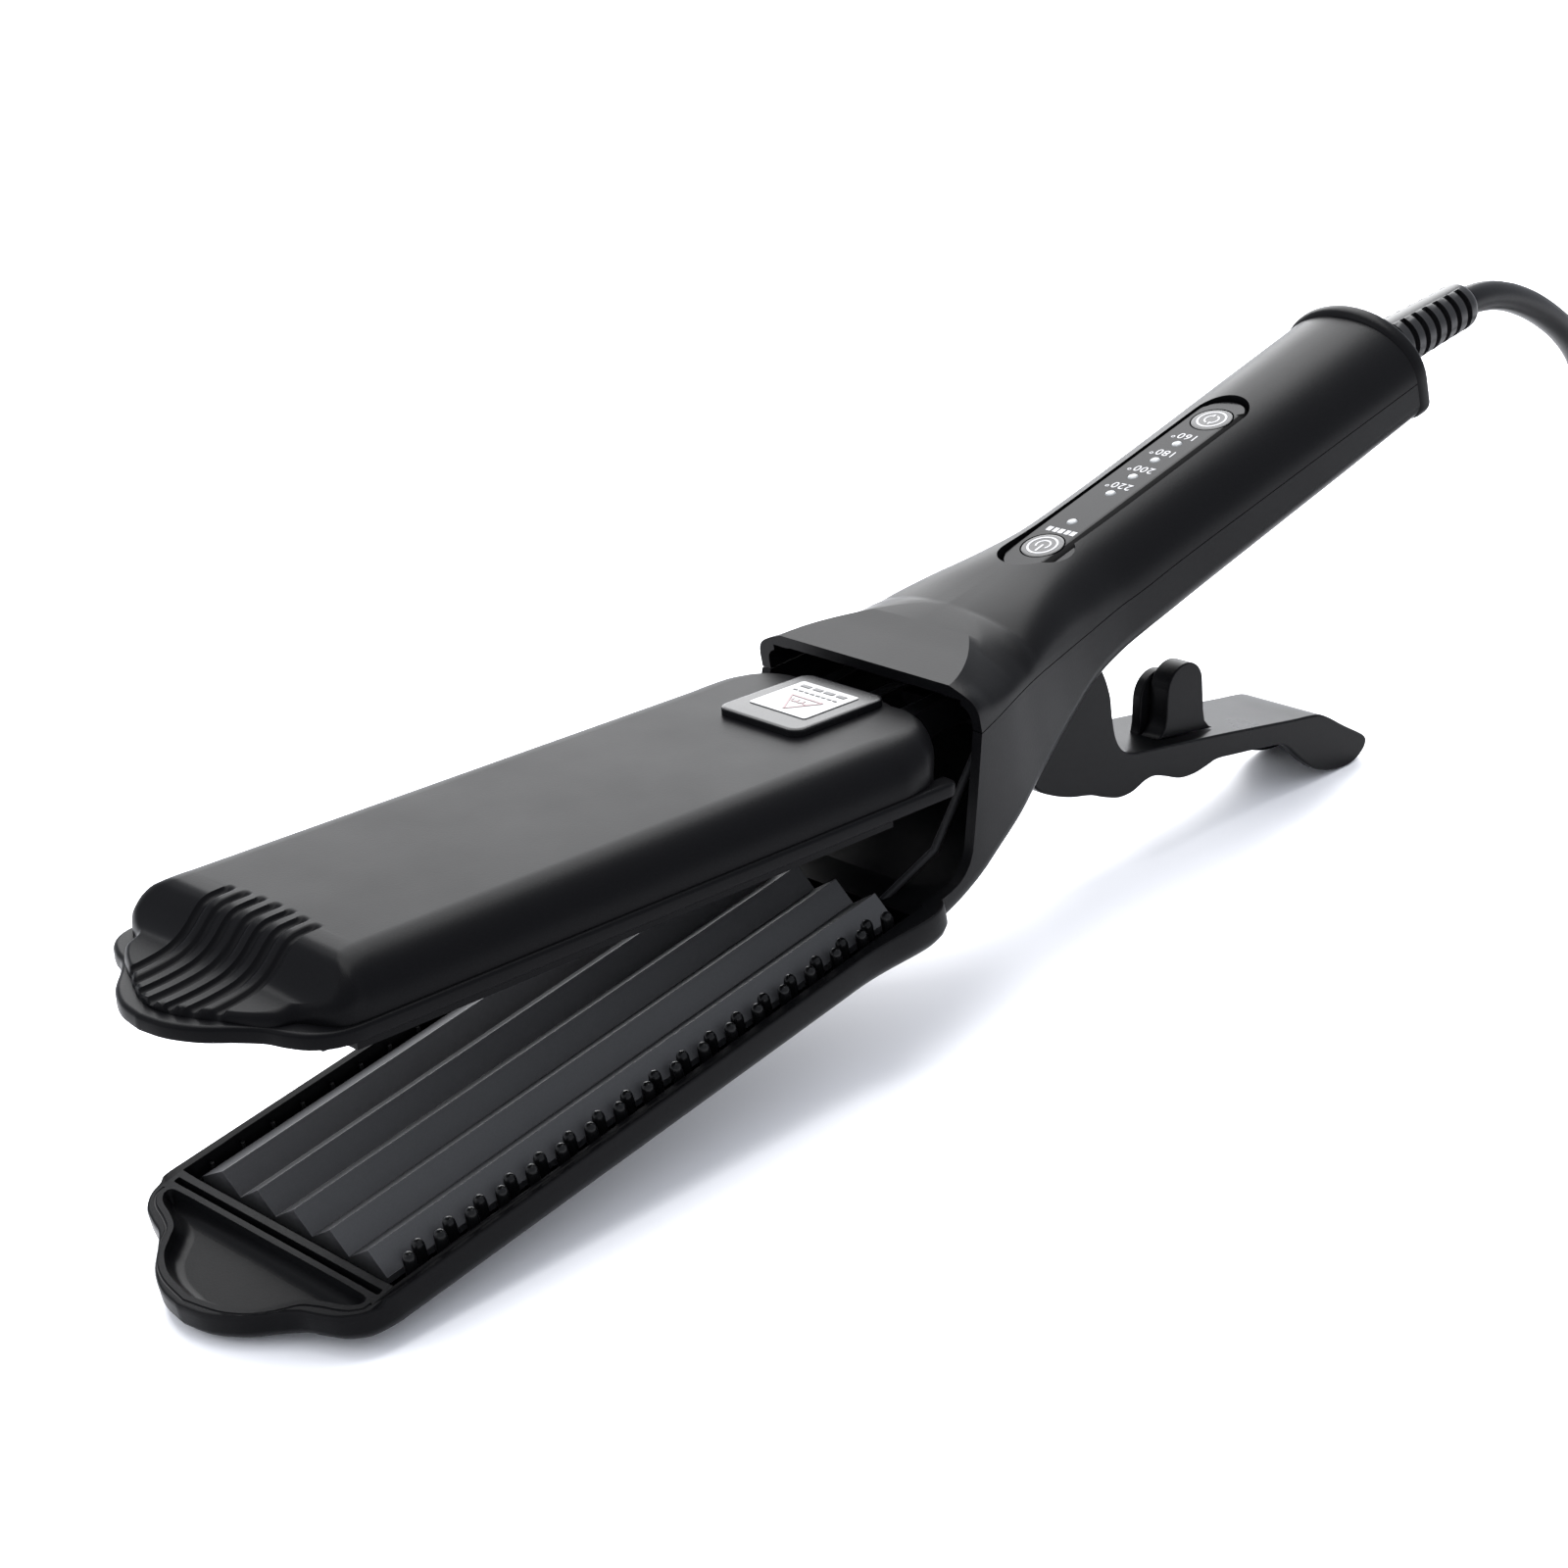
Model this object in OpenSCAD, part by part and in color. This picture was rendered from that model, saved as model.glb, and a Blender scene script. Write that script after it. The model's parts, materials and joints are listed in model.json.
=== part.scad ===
// Hair crimper with a fixed lower jaw, a sprung upper jaw and a squeeze lever.
// The parts are drawn in the jaw frame: X towards the cord, Y across, Z up from the
// crests of the lower plate, X = 0 at the mouth of the housing. Units: mm.

/* [Pose] */
// Pitch of the lower plate when the tool rests on its nose and lever tail
pitch = 8.9; // [0:0.1:20]
// Angle between the plates at rest
opening = 11.3; // [0:0.1:20]
// Height of the jaw frame's origin over the table
lift = 33.42; // [25:0.05:45]
// Shift that centres the tool on the origin
shift_x = -7.24; // [-30:0.05:30]

/* [Jaws] */
// Half width of the tray
tray_w = 30; // [25:0.5:35]
// Front end of the tray's straight walls
tray_front = -148; // [-160:0.5:-120]
// Top of the tray walls
tray_top = -1.3; // [-4:0.1:0]
// Underside of the tray
tray_floor = -10; // [-14:0.5:-8]
// Front end of the plates
plate_front = -141.8; // [-150:0.1:-120]
// Rear end of the plates
plate_rear = -24; // [-40:0.5:-10]
// Distance between two ridges
ridge_pitch = 9.66; // [6:0.01:14]
// Width of a ridge's near face
ridge_face = 3.43; // [2:0.01:6]
// Height of a ridge
ridge_depth = 4; // [2:0.1:6]
// Top of the upper jaw when it is shut
cover_top = 16.9; // [14:0.1:20]
// Half width of the upper jaw
cover_w = 28.6; // [24:0.1:32]

/* [Comb] */
// Number of posts in the outer row of a comb
comb_count = 18; // [10:1:24]
// Distance between two posts
comb_pitch = 6.5; // [4:0.1:9]

/* [Handle] */
// Slope of the handle against the plates
handle_tilt = 3.8; // [0:0.1:8]
// Height of the parting line at the mouth, extended
handle_z = 15.7; // [10:0.1:20]
// Rear end of the shells, along the handle
handle_end = 148.5; // [130:0.5:170]
// Wall thickness of the shells
wall = 2.2; // [1.6:0.1:3]

/* [Pivot] */
// Pivot position along X
pivot_x = 42; // [35:0.5:50]
// Pivot position along Z
pivot_z = 14; // [8:0.5:18]
// Radius of the pivot pin
pin_r = 2; // [1.5:0.1:3]

/* [Cord] */
// Diameter of the mains cord
cord_d = 6.5; // [5:0.1:8]

/* [Hidden] */
$fn = 40;
gap = 0.05;
valley = -ridge_depth;
ridge_y = [for (k = [0:4]) 19.64 - k * ridge_pitch];
plate_y0 = ridge_y[0] + ridge_pitch - ridge_face;
plate_y1 = ridge_y[4] - ridge_face;
arc_a = [for (a = [0:15:90]) a];

// Housing stations: x, half width, parting height, top, squareness, underside
stations = [
    [0, 27.6, 22.6, 30.6, 5, -1.5], [9, 25.6, 22.6, 30.6, 4.6, 2.2],
    [19, 22.6, 22.0, 30.8, 3.8, 3.4], [33, 18.8, 20.4, 31.0, 3, 5.4],
    [45, 16.4, 19.6, 31.4, 2.4, 7.6], [57, 15.2, 19.6, 31.9, 2.1, 8.8],
    [72, 15.1, 20.5, 32.8, 2.05, 9.9], [98, 15.6, 22.2, 34.5, 2.05, 12.2],
    [124, 16.3, 24.0, 36.2, 2.05, 14.6], [148, 16.9, 25.6, 37.8, 2.05, 17]];
cheeks = [
    [-24, 30, 22.6, 0, 0, -7.5], [-14, 29.4, 22.6, 0, 0, -6],
    [-6, 28.6, 22.6, 0, 0, -3.6]];

// Route of the cord lead, from the strain relief to the coil
lead_route = [
    [175.8, 0, 86.7], [178.7, 0, 87], [183.2, 0, 86.8], [188.6, 0, 85.9], [195.4, 0, 83.8],
    [203, 0, 80.4], [210.2, 0, 76.2], [217, 0, 71.3], [223.4, 0.6, 65.7], [229.6, 2.3, 59.4],
    [235.4, 4.7, 52.6], [240.8, 7.4, 45.7], [246.2, 10.5, 38.8], [251.8, 13.8, 32.2], [257.8, 17.5, 26.2],
    [264.2, 21.2, 21], [271, 24.7, 16.7], [278, 27.6, 13.4], [284, 29.1, 11.6], [289.6, 29.7, 10.5],
    [295, 29.7, 10.1]];
// Route of the cord tail, from the coil to the plug
tail_route = [
    [285, -69.7, 3.4], [277, -69.1, 3.4], [269, -67.6, 3.9], [261, -65.5, 5], [253, -63.2, 7],
    [245, -61.1, 9], [238.5, -60.1, 9.9], [232, -60, 10]];
coil_at = [295, -20, 0];
plug_at = [232, -60, 10];

// ---------- frames ----------
module jaw_frame() {
    translate([shift_x, 0, lift]) rotate([0, -pitch, 0]) children();
}

module moving_frame() {
    jaw_frame() translate([pivot_x, 0, pivot_z]) rotate([0, opening, 0])
        translate([-pivot_x, 0, -pivot_z]) children();
}

module handle_frame() {
    jaw_frame() translate([0, 0, handle_z]) rotate([0, -handle_tilt, 0]) children();
}

// A (y, z) outline pushed along X
module along(x0, x1) {
    translate([x0, 0, 0]) rotate([90, 0, 90]) linear_extrude(x1 - x0) children();
}

// An (x, z) outline pushed along Y
module across(y0, y1) {
    translate([0, y1, 0]) rotate([90, 0, 0]) linear_extrude(y1 - y0) children();
}

// ---------- helpers ----------
// Half outline above z0: superellipse of half width w and height h
function dome(w, z0, h, n) = [for (a = [0:7.5:180])
    [w * sign(cos(a)) * pow(abs(cos(a)), 2 / n), z0 + h * pow(sin(a), 2 / n)]];

// Half outline above z0 with a flat top and corner radius r
function crown(w, z0, zt, r) = concat([[w, z0]],
    [for (a = arc_a) [w - r + r * cos(a), zt - r + r * sin(a)]],
    [for (a = arc_a) [-w + r - r * sin(a), zt - r + r * cos(a)]], [[-w, z0]]);

function flip(p) = [for (q = p) [-q[0], -q[1]]];

function ring3(x, p) = [for (q = p) [x, q[0], q[1]]];

// Closed solid through a list of equal rings
module loft(rings) {
    n = len(rings[0]);
    m = len(rings);
    sides = [for (i = [0:m - 2], j = [0:n - 1], t = [0, 1]) let (k = (j + 1) % n)
        t == 0 ? [i * n + j, (i + 1) * n + j, (i + 1) * n + k]
               : [i * n + j, (i + 1) * n + k, i * n + k]];
    first = [for (j = [0:n - 1]) j];
    last = [for (j = [n - 1:-1:0]) (m - 1) * n + j];
    polyhedron([for (r = rings) each r], concat(sides, [first], [last]));
}

// Rounded rectangle, centred
module pad2d(x, y, r) {
    square([x - 2 * r, y], center = true);
    square([x, y - 2 * r], center = true);
    for (i = [-1, 1], j = [-1, 1]) translate([i * (x / 2 - r), j * (y / 2 - r)]) circle(r);
}

// Plan of the scalloped nose, drawn in by g
module nose2d(g) {
    difference() {
        union() {
            translate([-149.5, 0]) circle(16.5 - g);
            for (s = [-1, 1]) translate([-148.3, s * 23.5]) circle(6.2 - g);
            translate([-151, -23.5]) square([10, 47]);
            translate([-148.3, g - 29.7]) square([8, 59.4 - 2 * g]);
        }
        for (s = [-1, 1]) translate([-154.6, s * 18.4]) circle(3.4 + g);
    }
}

// Tube swept along a route that keeps its Y axis roughly level
function unit(v) = v / norm(v);
function heading(p, i) = unit(p[min(i + 1, len(p) - 1)] - p[max(i - 1, 0)]);
function tube_ring(p, i, r, n) = let (t = heading(p, i), s = unit(cross([0, 0, 1], t)),
    u = cross(t, s)) [for (j = [0:n - 1]) p[i] + r * cos(360 * j / n) * s
        + r * sin(360 * j / n) * u];
module tube(p, r, n) {
    loft([for (i = [0:len(p) - 1]) tube_ring(p, i, r, n)]);
}

// ---------- shells ----------
module lower_outside(t, up) {
    rows = concat(cheeks, stations);
    loft([for (s = rows) ring3(s[0], flip(crown(s[1] - t, -s[2] - up, -s[5] - t, 4 - t / 2)))]);
}

module upper_outside(t, down) {
    loft([for (s = stations) ring3(s[0], concat([[s[1] - t, s[2] - down]],
        dome(s[1] - t, s[2], s[3] - s[2] - t, s[4]), [[t - s[1], s[2] - down]]))]);
}

module lower_housing() color([0.07, 0.07, 0.075]) jaw_frame() {
    difference() {
        union() {
            along(tray_front, -14) polygon([[-tray_w, tray_top], [-tray_w, -5.5], [-24, tray_floor],
                [24, tray_floor], [tray_w, -5.5], [tray_w, tray_top]]);
            translate([0, 0, -5.5]) linear_extrude(tray_top + 5.5 - 0.7) nose2d(0);
            translate([0, 0, -8.3]) linear_extrude(3) nose2d(3);
            lower_outside(0, 0);
        }
        // tray pocket, with its slanted cheeks at the mouth
        translate([-145.2, -28, -8]) cube([131.4, 56, 20]);
        difference() {
            translate([0.01, 0, 0]) lower_outside(wall, 1);
            translate([-40, -40, -20]) cube([24, 80, 60]);
        }
        across(-40, 40) polygon([[-60, tray_top], [-13, tray_top], [0, 22.7], [0, 40], [-60, 40]]);
        translate([140, -20, 0]) rotate([0, -handle_tilt, 0]) translate([9, 0, -5]) cube([20, 40, 60]);
        translate([140, -14.4, 17.6]) cube([20, 28.8, 30]);
        // slot for the lever
        translate([27, -11.4, -12]) cube([37, 22.8, 29.5]);
        // nose pocket
        translate([0, 0, -4.6]) linear_extrude(6) intersection() {
            nose2d(1.8);
            translate([-180, -40]) square([31, 80]);
        }
        // plate screw holes with counterbores
        for (x = [-122, -46], y = [-17, 17]) translate([x, y, -12]) {
            cylinder(h = 6, r = 1.3);
            cylinder(h = 3.2, r = 2.5);
        }
        translate([0, 0, handle_z]) rotate([0, -handle_tilt, 0])
            for (y = [-9, 9]) translate([121, y, -14]) cylinder(h = 20, r = 1.6);
    }
    // cross ribs between tray and nose
    for (x = [-147.6, -145.2]) translate([x, -28.4, -7.9]) cube([1.1, 56.8, 5.9]);
    // pivot bosses
    for (s = [-1, 1]) difference() {
        translate([pivot_x, s * 13.6, pivot_z]) rotate([90, 0, 0]) cylinder(h = 3.4, r = 4.6, center = true);
        translate([pivot_x, s * 13.6, pivot_z]) rotate([90, 0, 0])
            cylinder(h = 8, r = pin_r + gap, center = true);
    }
}

module upper_shell() color([0.06, 0.06, 0.065]) difference() {
    jaw_frame() difference() {
        upper_outside(0, 0);
        translate([0.01, 0, 0]) upper_outside(wall, 1);
        translate([-1, -23.6, 20]) cube([4, 47.2, 8.2]);
        translate([140, -20, 0]) rotate([0, -handle_tilt, 0]) translate([9, 0, -5]) cube([20, 40, 60]);
    }
    // recess and window of the control panel
    handle_frame() {
        translate([78.2, 0, 11.1]) linear_extrude(6) pad2d(74, 12.4, 6.1);
        translate([78.2, 0, 5]) linear_extrude(8) pad2d(71.6, 10, 4.9);
    }
}

module end_cap() color([0.06, 0.06, 0.065]) difference() {
    handle_frame() {
        along(149, 152.6) polygon(dome(18.2, 0, 13.4, 2.1));
        along(149, 152.6) polygon(flip(crown(17, 0, 8.7, 3)));
        along(146.4, 149) polygon(dome(13.9, 0, 9.6, 2.1));
        along(146.4, 149) polygon(flip(crown(13.9, 0, 5.9, 2)));
    }
    relief_frame() translate([0, 0, -8]) cylinder(h = 20, r = 4.35);
}

module relief_frame() {
    jaw_frame() translate([149, 0, 26.1]) rotate([0, 92.5, 0]) children();
}

module strain_relief() color([0.05, 0.05, 0.055]) relief_frame() {
    translate([0, 0, -3]) cylinder(h = 8, r = 4.3);
    translate([0, 0, 4.9]) cylinder(h = 35.1, r1 = 4.4, r2 = 3.6);
    for (k = [0:7]) translate([0, 0, 6.2 + k * 4.2]) cylinder(h = 2.6, r1 = 5.4 - k * 0.08, r2 = 5.3 - k * 0.08);
    translate([-4.6, -1.6, 5]) cube([3, 3.2, 34]);
}

// ---------- controls ----------
module panel() color([0.02, 0.02, 0.025]) handle_frame() difference() {
    union() {
        translate([78.2, 0, 11.2]) linear_extrude(0.7) pad2d(73.6, 12, 5.9);
        translate([78.2, 0, 9.4]) linear_extrude(1.9) pad2d(71.2, 9.6, 4.7);
    }
    for (x = [51.5, 104.5]) translate([x, 0, 8]) cylinder(h = 6, r = 4.45);
    for (x = [61, 72.8, 79.8, 86.8, 93.8]) translate([x, 0, 8]) cylinder(h = 6, r = 0.95, $fn = 24);
}

module push_button() {
    translate([0, 0, 7.4]) cylinder(h = 5.1, r = 4.2);
    translate([0, 0, 6.9]) cylinder(h = 0.6, r = 2);
    difference() {
        translate([0, 0, 12.4]) cylinder(h = 0.5, r = 3.9);
        translate([0, 0, 12.3]) cylinder(h = 1, r = 3.1);
    }
}

module power_button() color([0.04, 0.04, 0.045]) handle_frame() translate([51.5, 0, 0]) push_button();

module temperature_button() color([0.04, 0.04, 0.045]) handle_frame() translate([104.5, 0, 0]) push_button();

module led_row() color([0.75, 0.76, 0.78]) handle_frame()
    for (x = [61, 72.8, 79.8, 86.8, 93.8]) translate([x, 0, 5.9]) cylinder(h = 6.2, r = 0.85, $fn = 24);

module circuit_board() color([0.1, 0.35, 0.2]) handle_frame() {
    translate([45, -9.5, 4.2]) cube([66, 19, 1.6]);
    for (x = [51.5, 104.5]) translate([x - 3, -3, 5.7]) cube([6, 6, 0.6]);
    translate([64, -6, 1.6]) cube([12, 11, 2.7]);
    translate([84, -5, -0.6]) cube([9, 9, 4.9]);
}

module inner_lead() color([0.08, 0.08, 0.09]) handle_frame()
    translate([123, 0, 0]) rotate([0, 90, 0]) cylinder(h = 20.5, r = 3);

module cord_clamp() color([0.12, 0.12, 0.13]) handle_frame() difference() {
    translate([133, -9, -4.6]) cube([6, 18, 9.2]);
    translate([130, 0, 0]) rotate([0, 90, 0]) cylinder(h = 12, r = 3.05);
}

module shell_screws() color([0.6, 0.6, 0.62]) handle_frame()
    for (y = [-9, 9]) translate([121, y, -8.4]) {
        cylinder(h = 12.2, r = 1.4);
        translate([0, 0, 1.6]) cylinder(h = 2, r = 2.6);
    }

// ---------- lower jaw ----------
module ridges2d(lift_by, y0, y1, back) {
    crest = [for (k = [0:4]) each [[ridge_y[k], lift_by], [ridge_y[k] - ridge_face, valley + lift_by]]];
    intersection() {
        polygon(concat([[plate_y0 + 9, back], [plate_y0 + 9, valley + lift_by + 0.01],
            [plate_y0, valley + lift_by]], crest, [[plate_y1 - 9, valley + lift_by - 0.01], [plate_y1 - 9, back]]));
        translate([y0, -20]) square([y1 - y0, 40]);
    }
}

module lower_plate() color([0.17, 0.17, 0.18])
    jaw_frame() along(plate_front, plate_rear) ridges2d(0, -22.6, 27, -5.2);

module lower_heater() color([0.75, 0.72, 0.65]) jaw_frame()
    for (x = [-128, -78]) translate([x, -9, -7.3]) cube([44, 18, 2]);

module lower_insulator() color([0.8, 0.7, 0.4]) jaw_frame()
    translate([-134, -13, -7.9]) cube([104, 26, 0.5]);

module thermal_fuse() color([0.8, 0.8, 0.8]) jaw_frame()
    translate([-81, 0, -6.4]) rotate([90, 0, 0]) cylinder(h = 12, r = 0.95, center = true, $fn = 24);

module lower_leads() color([0.05, 0.05, 0.055]) jaw_frame() for (s = [-1, 1])
    tube([[-33, s * 10, -6.4], [-22, s * 15, -6.2], [-9, s * 20, 1], [6, s * 19.5, 14], [15, s * 16.6, 21],
        [30, s * 12.4, 24.6], [38, s * 7.4, 25.2], [42, s * 7, 25]], 0.8, 8);

// The near comb has a second row behind the first
module comb_near() color([0.05, 0.05, 0.055]) jaw_frame() {
    translate([-142.5, -27.8, -7.9]) cube([118.5, 5, 1.2]);
    for (k = [0:comb_count - 1]) comb_post(-139.1 + k * comb_pitch, -25.9, -1.1);
    for (k = [0:comb_count - 2]) comb_post(-135.85 + k * comb_pitch, -24.1, -2.2);
}

module comb_post(x, y, top) {
    translate([x, y, -7]) cylinder(h = top + 7 - 1.1, r = 1.1, $fn = 20);
    translate([x, y, top - 1.1]) sphere(1.1, $fn = 20);
}

module comb_far() color([0.05, 0.05, 0.055]) jaw_frame() {
    translate([-142.5, 27.1, -7.9]) cube([118.5, 0.8, 3.4]);
    for (k = [0:comb_count - 1]) translate([-139.1 + k * comb_pitch, 27.5, -4.6])
        cylinder(h = 1.6, r = 0.4, $fn = 20);
}

module plate_screws() color([0.6, 0.6, 0.62]) jaw_frame()
    for (x = [-122, -46], y = [-17, 17]) translate([x, y, -9.8]) {
        cylinder(h = 4.5, r = 1.2);
        cylinder(h = 0.9, r = 2.3);
    }

// ---------- pivot ----------
module pivot_pin() color([0.7, 0.7, 0.72]) jaw_frame()
    translate([pivot_x, 0, pivot_z]) rotate([90, 0, 0]) cylinder(h = 28.6, r = pin_r, center = true);

module torsion_spring() color([0.65, 0.65, 0.68]) jaw_frame() {
    for (s = [-1, 1]) translate([pivot_x, s * 10.9, pivot_z]) rotate([90, 0, 0])
        rotate_extrude() translate([3.2, 0]) circle(0.45, $fn = 16);
}

// ---------- upper jaw, drawn shut ----------
cover_rings = [[-151, 24.5, 9.4, 2.5], [-146, 26.4, 12.2, 4.5], [-141, 27.8, 15.4, 6.6],
    [-137, 28.4, 16.7, 7.6], [-132, 28.6, 16.9, 8], [-13.5, 28.6, 16.9, 8], [-10, 26.2, 16.9, 8],
    [-6, 22, 16.9, 8]];

module cover_body(t, base) {
    loft([for (s = cover_rings) ring3(s[0], crown(s[1] - t, base, s[2] - t, s[3] - t / 3))]);
}

module upper_cover() color([0.06, 0.06, 0.065]) moving_frame() difference() {
    union() {
        cover_body(0, 5.5);
        translate([0, 0, 5.5]) linear_extrude(3.2) nose2d(0);
    }
    difference() {
        translate([0.02, 0, 0]) cover_body(2, 5);
        translate([-180, -40, 0]) cube([34, 80, 40]);
    }
    // grip grooves over the front edge, the slope and the nose
    for (k = [-3:3]) {
        translate([-141, k * 3.6 - 0.6, 16.2]) cube([10, 1.2, 3]);
        translate([-151.4, k * 3.6 - 0.6, 8.5]) rotate([0, -32.5, 0]) cube([15.6, 1.2, 3]);
        translate([-163 + abs(k) * 1.2, k * 3.6 - 0.6, 8]) cube([14, 1.2, 3]);
    }
}

module jaw_arm() color([0.07, 0.07, 0.075]) moving_frame() difference() {
    union() {
        translate([-139, -26, 2.5]) cube([116.7, 52, 6.1]);
        across(-13, 13) polygon([[-24, 3], [-16, 3], [4, 9.6], [34, 9.4], [34, 18.6], [-4, 14.4], [-24, 14.2]]);
        for (s = [-1, 1]) translate([0, s * 7.6, 0]) across(-2.4, 2.4)
            polygon([[30, 9.4], [42, 8.8], [42, 19.2], [30, 18.4]]);
    }
    // pocket for the plate, the heater and the insulator
    translate([-136.6, -22.3, 0]) cube([112.4, 44.6, 7.1]);
    translate([-120, -8, 0]) cube([80, 16, 20]);
    // channel for the leads and room for the lever barrel
    translate([-23, -9.6, 6]) cube([50, 19.2, 20]);
    translate([-26, -6, 5.4]) cube([12, 12, 6]);
    translate([pivot_x, 0, pivot_z]) rotate([90, 0, 0]) cylinder(h = 40, r = 6.3, center = true);
    translate([33.6, -20, 0]) cube([20, 40, 14.6]);
    for (x = [-128, -32], y = [-20, 20]) translate([x, y, 0]) cylinder(h = 20, r = 1.3);
    for (y = [-11.3, 11.3]) translate([10, y, 0]) cylinder(h = 40, r = 1);
}

module upper_plate() color([0.17, 0.17, 0.18])
    moving_frame() along(-136.4, -24.4) ridges2d(0.8, -22, 22, 4.6);

module upper_heater() color([0.75, 0.72, 0.65]) moving_frame()
    for (x = [-126, -78]) translate([x, -9, 4.7]) cube([42, 18, 1.8]);

module upper_insulator() color([0.8, 0.7, 0.4]) moving_frame()
    translate([-134, -12, 6.6]) cube([104, 24, 0.4]);

module upper_leads() color([0.05, 0.05, 0.055]) moving_frame() for (s = [-1, 1])
    tube([[-35, s * 4, 5.45], [-26, s * 4, 6], [-20, s * 4, 7.6], [0, s * 5, 11.6], [24, s * 5, 13]], 0.8, 8);

module jaw_screws() color([0.6, 0.6, 0.62]) moving_frame()
    for (x = [-128, -32], y = [-20, 20]) translate([x, y, 4.7]) {
        cylinder(h = 4, r = 1.2);
        translate([0, 0, 3.95]) cylinder(h = 1, r = 2.3);
    }

module label_pad() color([0.03, 0.03, 0.035]) moving_frame()
    translate([-18, 0, 16.9]) linear_extrude(1.5) pad2d(23.2, 20.4, 2.5);

module label() color([0.95, 0.95, 0.95]) moving_frame()
    translate([-17.4, 0, 18.4]) linear_extrude(0.25) pad2d(14, 14, 0.5);

// ---------- lever, drawn shut ----------
lever_side = [[37, 14], [34.6, 4], [32.6, -8], [33.6, -11.6], [38, -14.6], [44, -17], [50, -19.8],
    [56, -21.2], [62, -20.4], [66, -18.6], [71, -20], [77, -22.2], [83, -21.2], [88, -19.6],
    [98, -21], [110, -23.6], [117, -27.6], [122, -32.6], [127, -35], [134, -35.6], [139, -34.6],
    [141.6, -32], [141, -29.4], [133, -24.4], [123.4, -20.8], [118, -20.2], [90, -15.9],
    [64, -12], [60, -10], [57.6, -6.6], [55.4, -1.6], [51, 6], [47, 14]];
lever_room = [[41.6, 6], [38.4, -2], [37, -8.4], [40, -13], [44, -40], [150, -60], [134, -30.6],
    [131, -27.2], [122.6, -23.2], [117, -22.6], [90, -18.2], [62, -14], [57.6, -11.4],
    [55, -7.6], [52, -1], [49, 4]];

module squeeze_lever() color([0.05, 0.05, 0.055]) moving_frame() difference() {
    union() {
        difference() {
            across(-10.2, 10.2) polygon(lever_side);
            across(-8.2, 8.2) polygon(lever_room);
        }
        translate([pivot_x, 0, pivot_z]) rotate([90, 0, 0]) cylinder(h = 20.4, r = 6, center = true);
    }
    translate([pivot_x, 0, pivot_z]) rotate([90, 0, 0]) cylinder(h = 30, r = pin_r + gap, center = true);
}

// Rounded finger tab standing on the lever
module tab(y) {
    translate([0, y, 0]) {
        across(-1.7, 1.7) polygon([[71.6, -13.05], [88.4, -15.6], [86.6, -10], [86.6, -5], [73.6, -5], [73.4, -9]]);
        translate([80.1, 1.7, -6.2]) rotate([90, 0, 0]) cylinder(h = 3.4, r = 6.5);
    }
}

module finger_tabs() color([0.04, 0.04, 0.045]) moving_frame() {
    tab(-4.6);
    tab(4.6);
}

module lever_screws() color([0.6, 0.6, 0.62]) moving_frame()
    for (y = [-11.3, 11.3]) translate([10, y, 9.8]) {
        cylinder(h = 6.7, r = 0.9);
        translate([0, 0, 6.6]) cylinder(h = 0.9, r = 1.6);
    }

// ---------- cord, on the table ----------
module cord() color([0.03, 0.03, 0.035]) {
    tube(lead_route, cord_d / 2, 12);
    tube(tail_route, cord_d / 2, 12);
}

module cord_coil() color([0.03, 0.03, 0.035]) translate(coil_at)
    rotate_extrude($fn = 48) translate([43, 7.2]) pad2d(20, 13.6, 3);

module coil_tie() color([0.08, 0.08, 0.09]) translate(coil_at) rotate([0, 0, -20])
    translate([43, 0, 7.4]) difference() {
        translate([-11.6, -3, -7.4]) cube([23.2, 6, 15.6]);
        translate([-10.2, -4, -7.2]) cube([20.4, 8, 14.2]);
    }

module plug_body() color([0.03, 0.03, 0.035]) translate(plug_at) {
    along(-59, -53) pad2d(26, 20, 4);
    loft([for (s = [[-53.2, 11.5, 9.2], [-46, 9.6, 8.6], [-38, 8.2, 7.6], [-31, 7.8, 7]])
        ring3(s[0], [for (a = [0:15:345]) [s[1] * sign(cos(a)) * sqrt(abs(cos(a))),
            s[2] * sign(sin(a)) * sqrt(abs(sin(a)))]])]);
    along(-31.2, -26) pad2d(21, 17, 3.5);
}

module plug_blades() color([0.75, 0.75, 0.74]) translate(plug_at)
    for (s = [-1, 1]) difference() {
        translate([-75, s * 6.35 - 0.75, -3.2]) cube([15.95, 1.5, 6.4]);
        translate([-71.4, s * 6.35, 0]) rotate([90, 0, 0]) cylinder(h = 4, r = 1.6, center = true);
    }

module plug_relief() color([0.03, 0.03, 0.035]) translate(plug_at) rotate([0, 90, 0]) {
    translate([0, 0, -25.9]) cylinder(h = 25.8, r1 = 4.8, r2 = 3.7);
    for (k = [0:5]) translate([0, 0, -24.6 + k * 4]) cylinder(h = 2.4, r = 6.3 - k * 0.2);
}

lower_housing();
upper_shell();
end_cap();
strain_relief();
panel();
power_button();
temperature_button();
led_row();
circuit_board();
inner_lead();
cord_clamp();
shell_screws();
lower_plate();
lower_heater();
lower_insulator();
thermal_fuse();
lower_leads();
comb_near();
comb_far();
plate_screws();
pivot_pin();
torsion_spring();
upper_cover();
jaw_arm();
upper_plate();
upper_heater();
upper_insulator();
upper_leads();
jaw_screws();
label_pad();
label();
squeeze_lever();
finger_tabs();
lever_screws();
cord();
cord_coil();
coil_tie();
plug_body();
plug_blades();
plug_relief();
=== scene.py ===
import bpy, bmesh, json, math
from mathutils import Matrix, Vector


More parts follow.
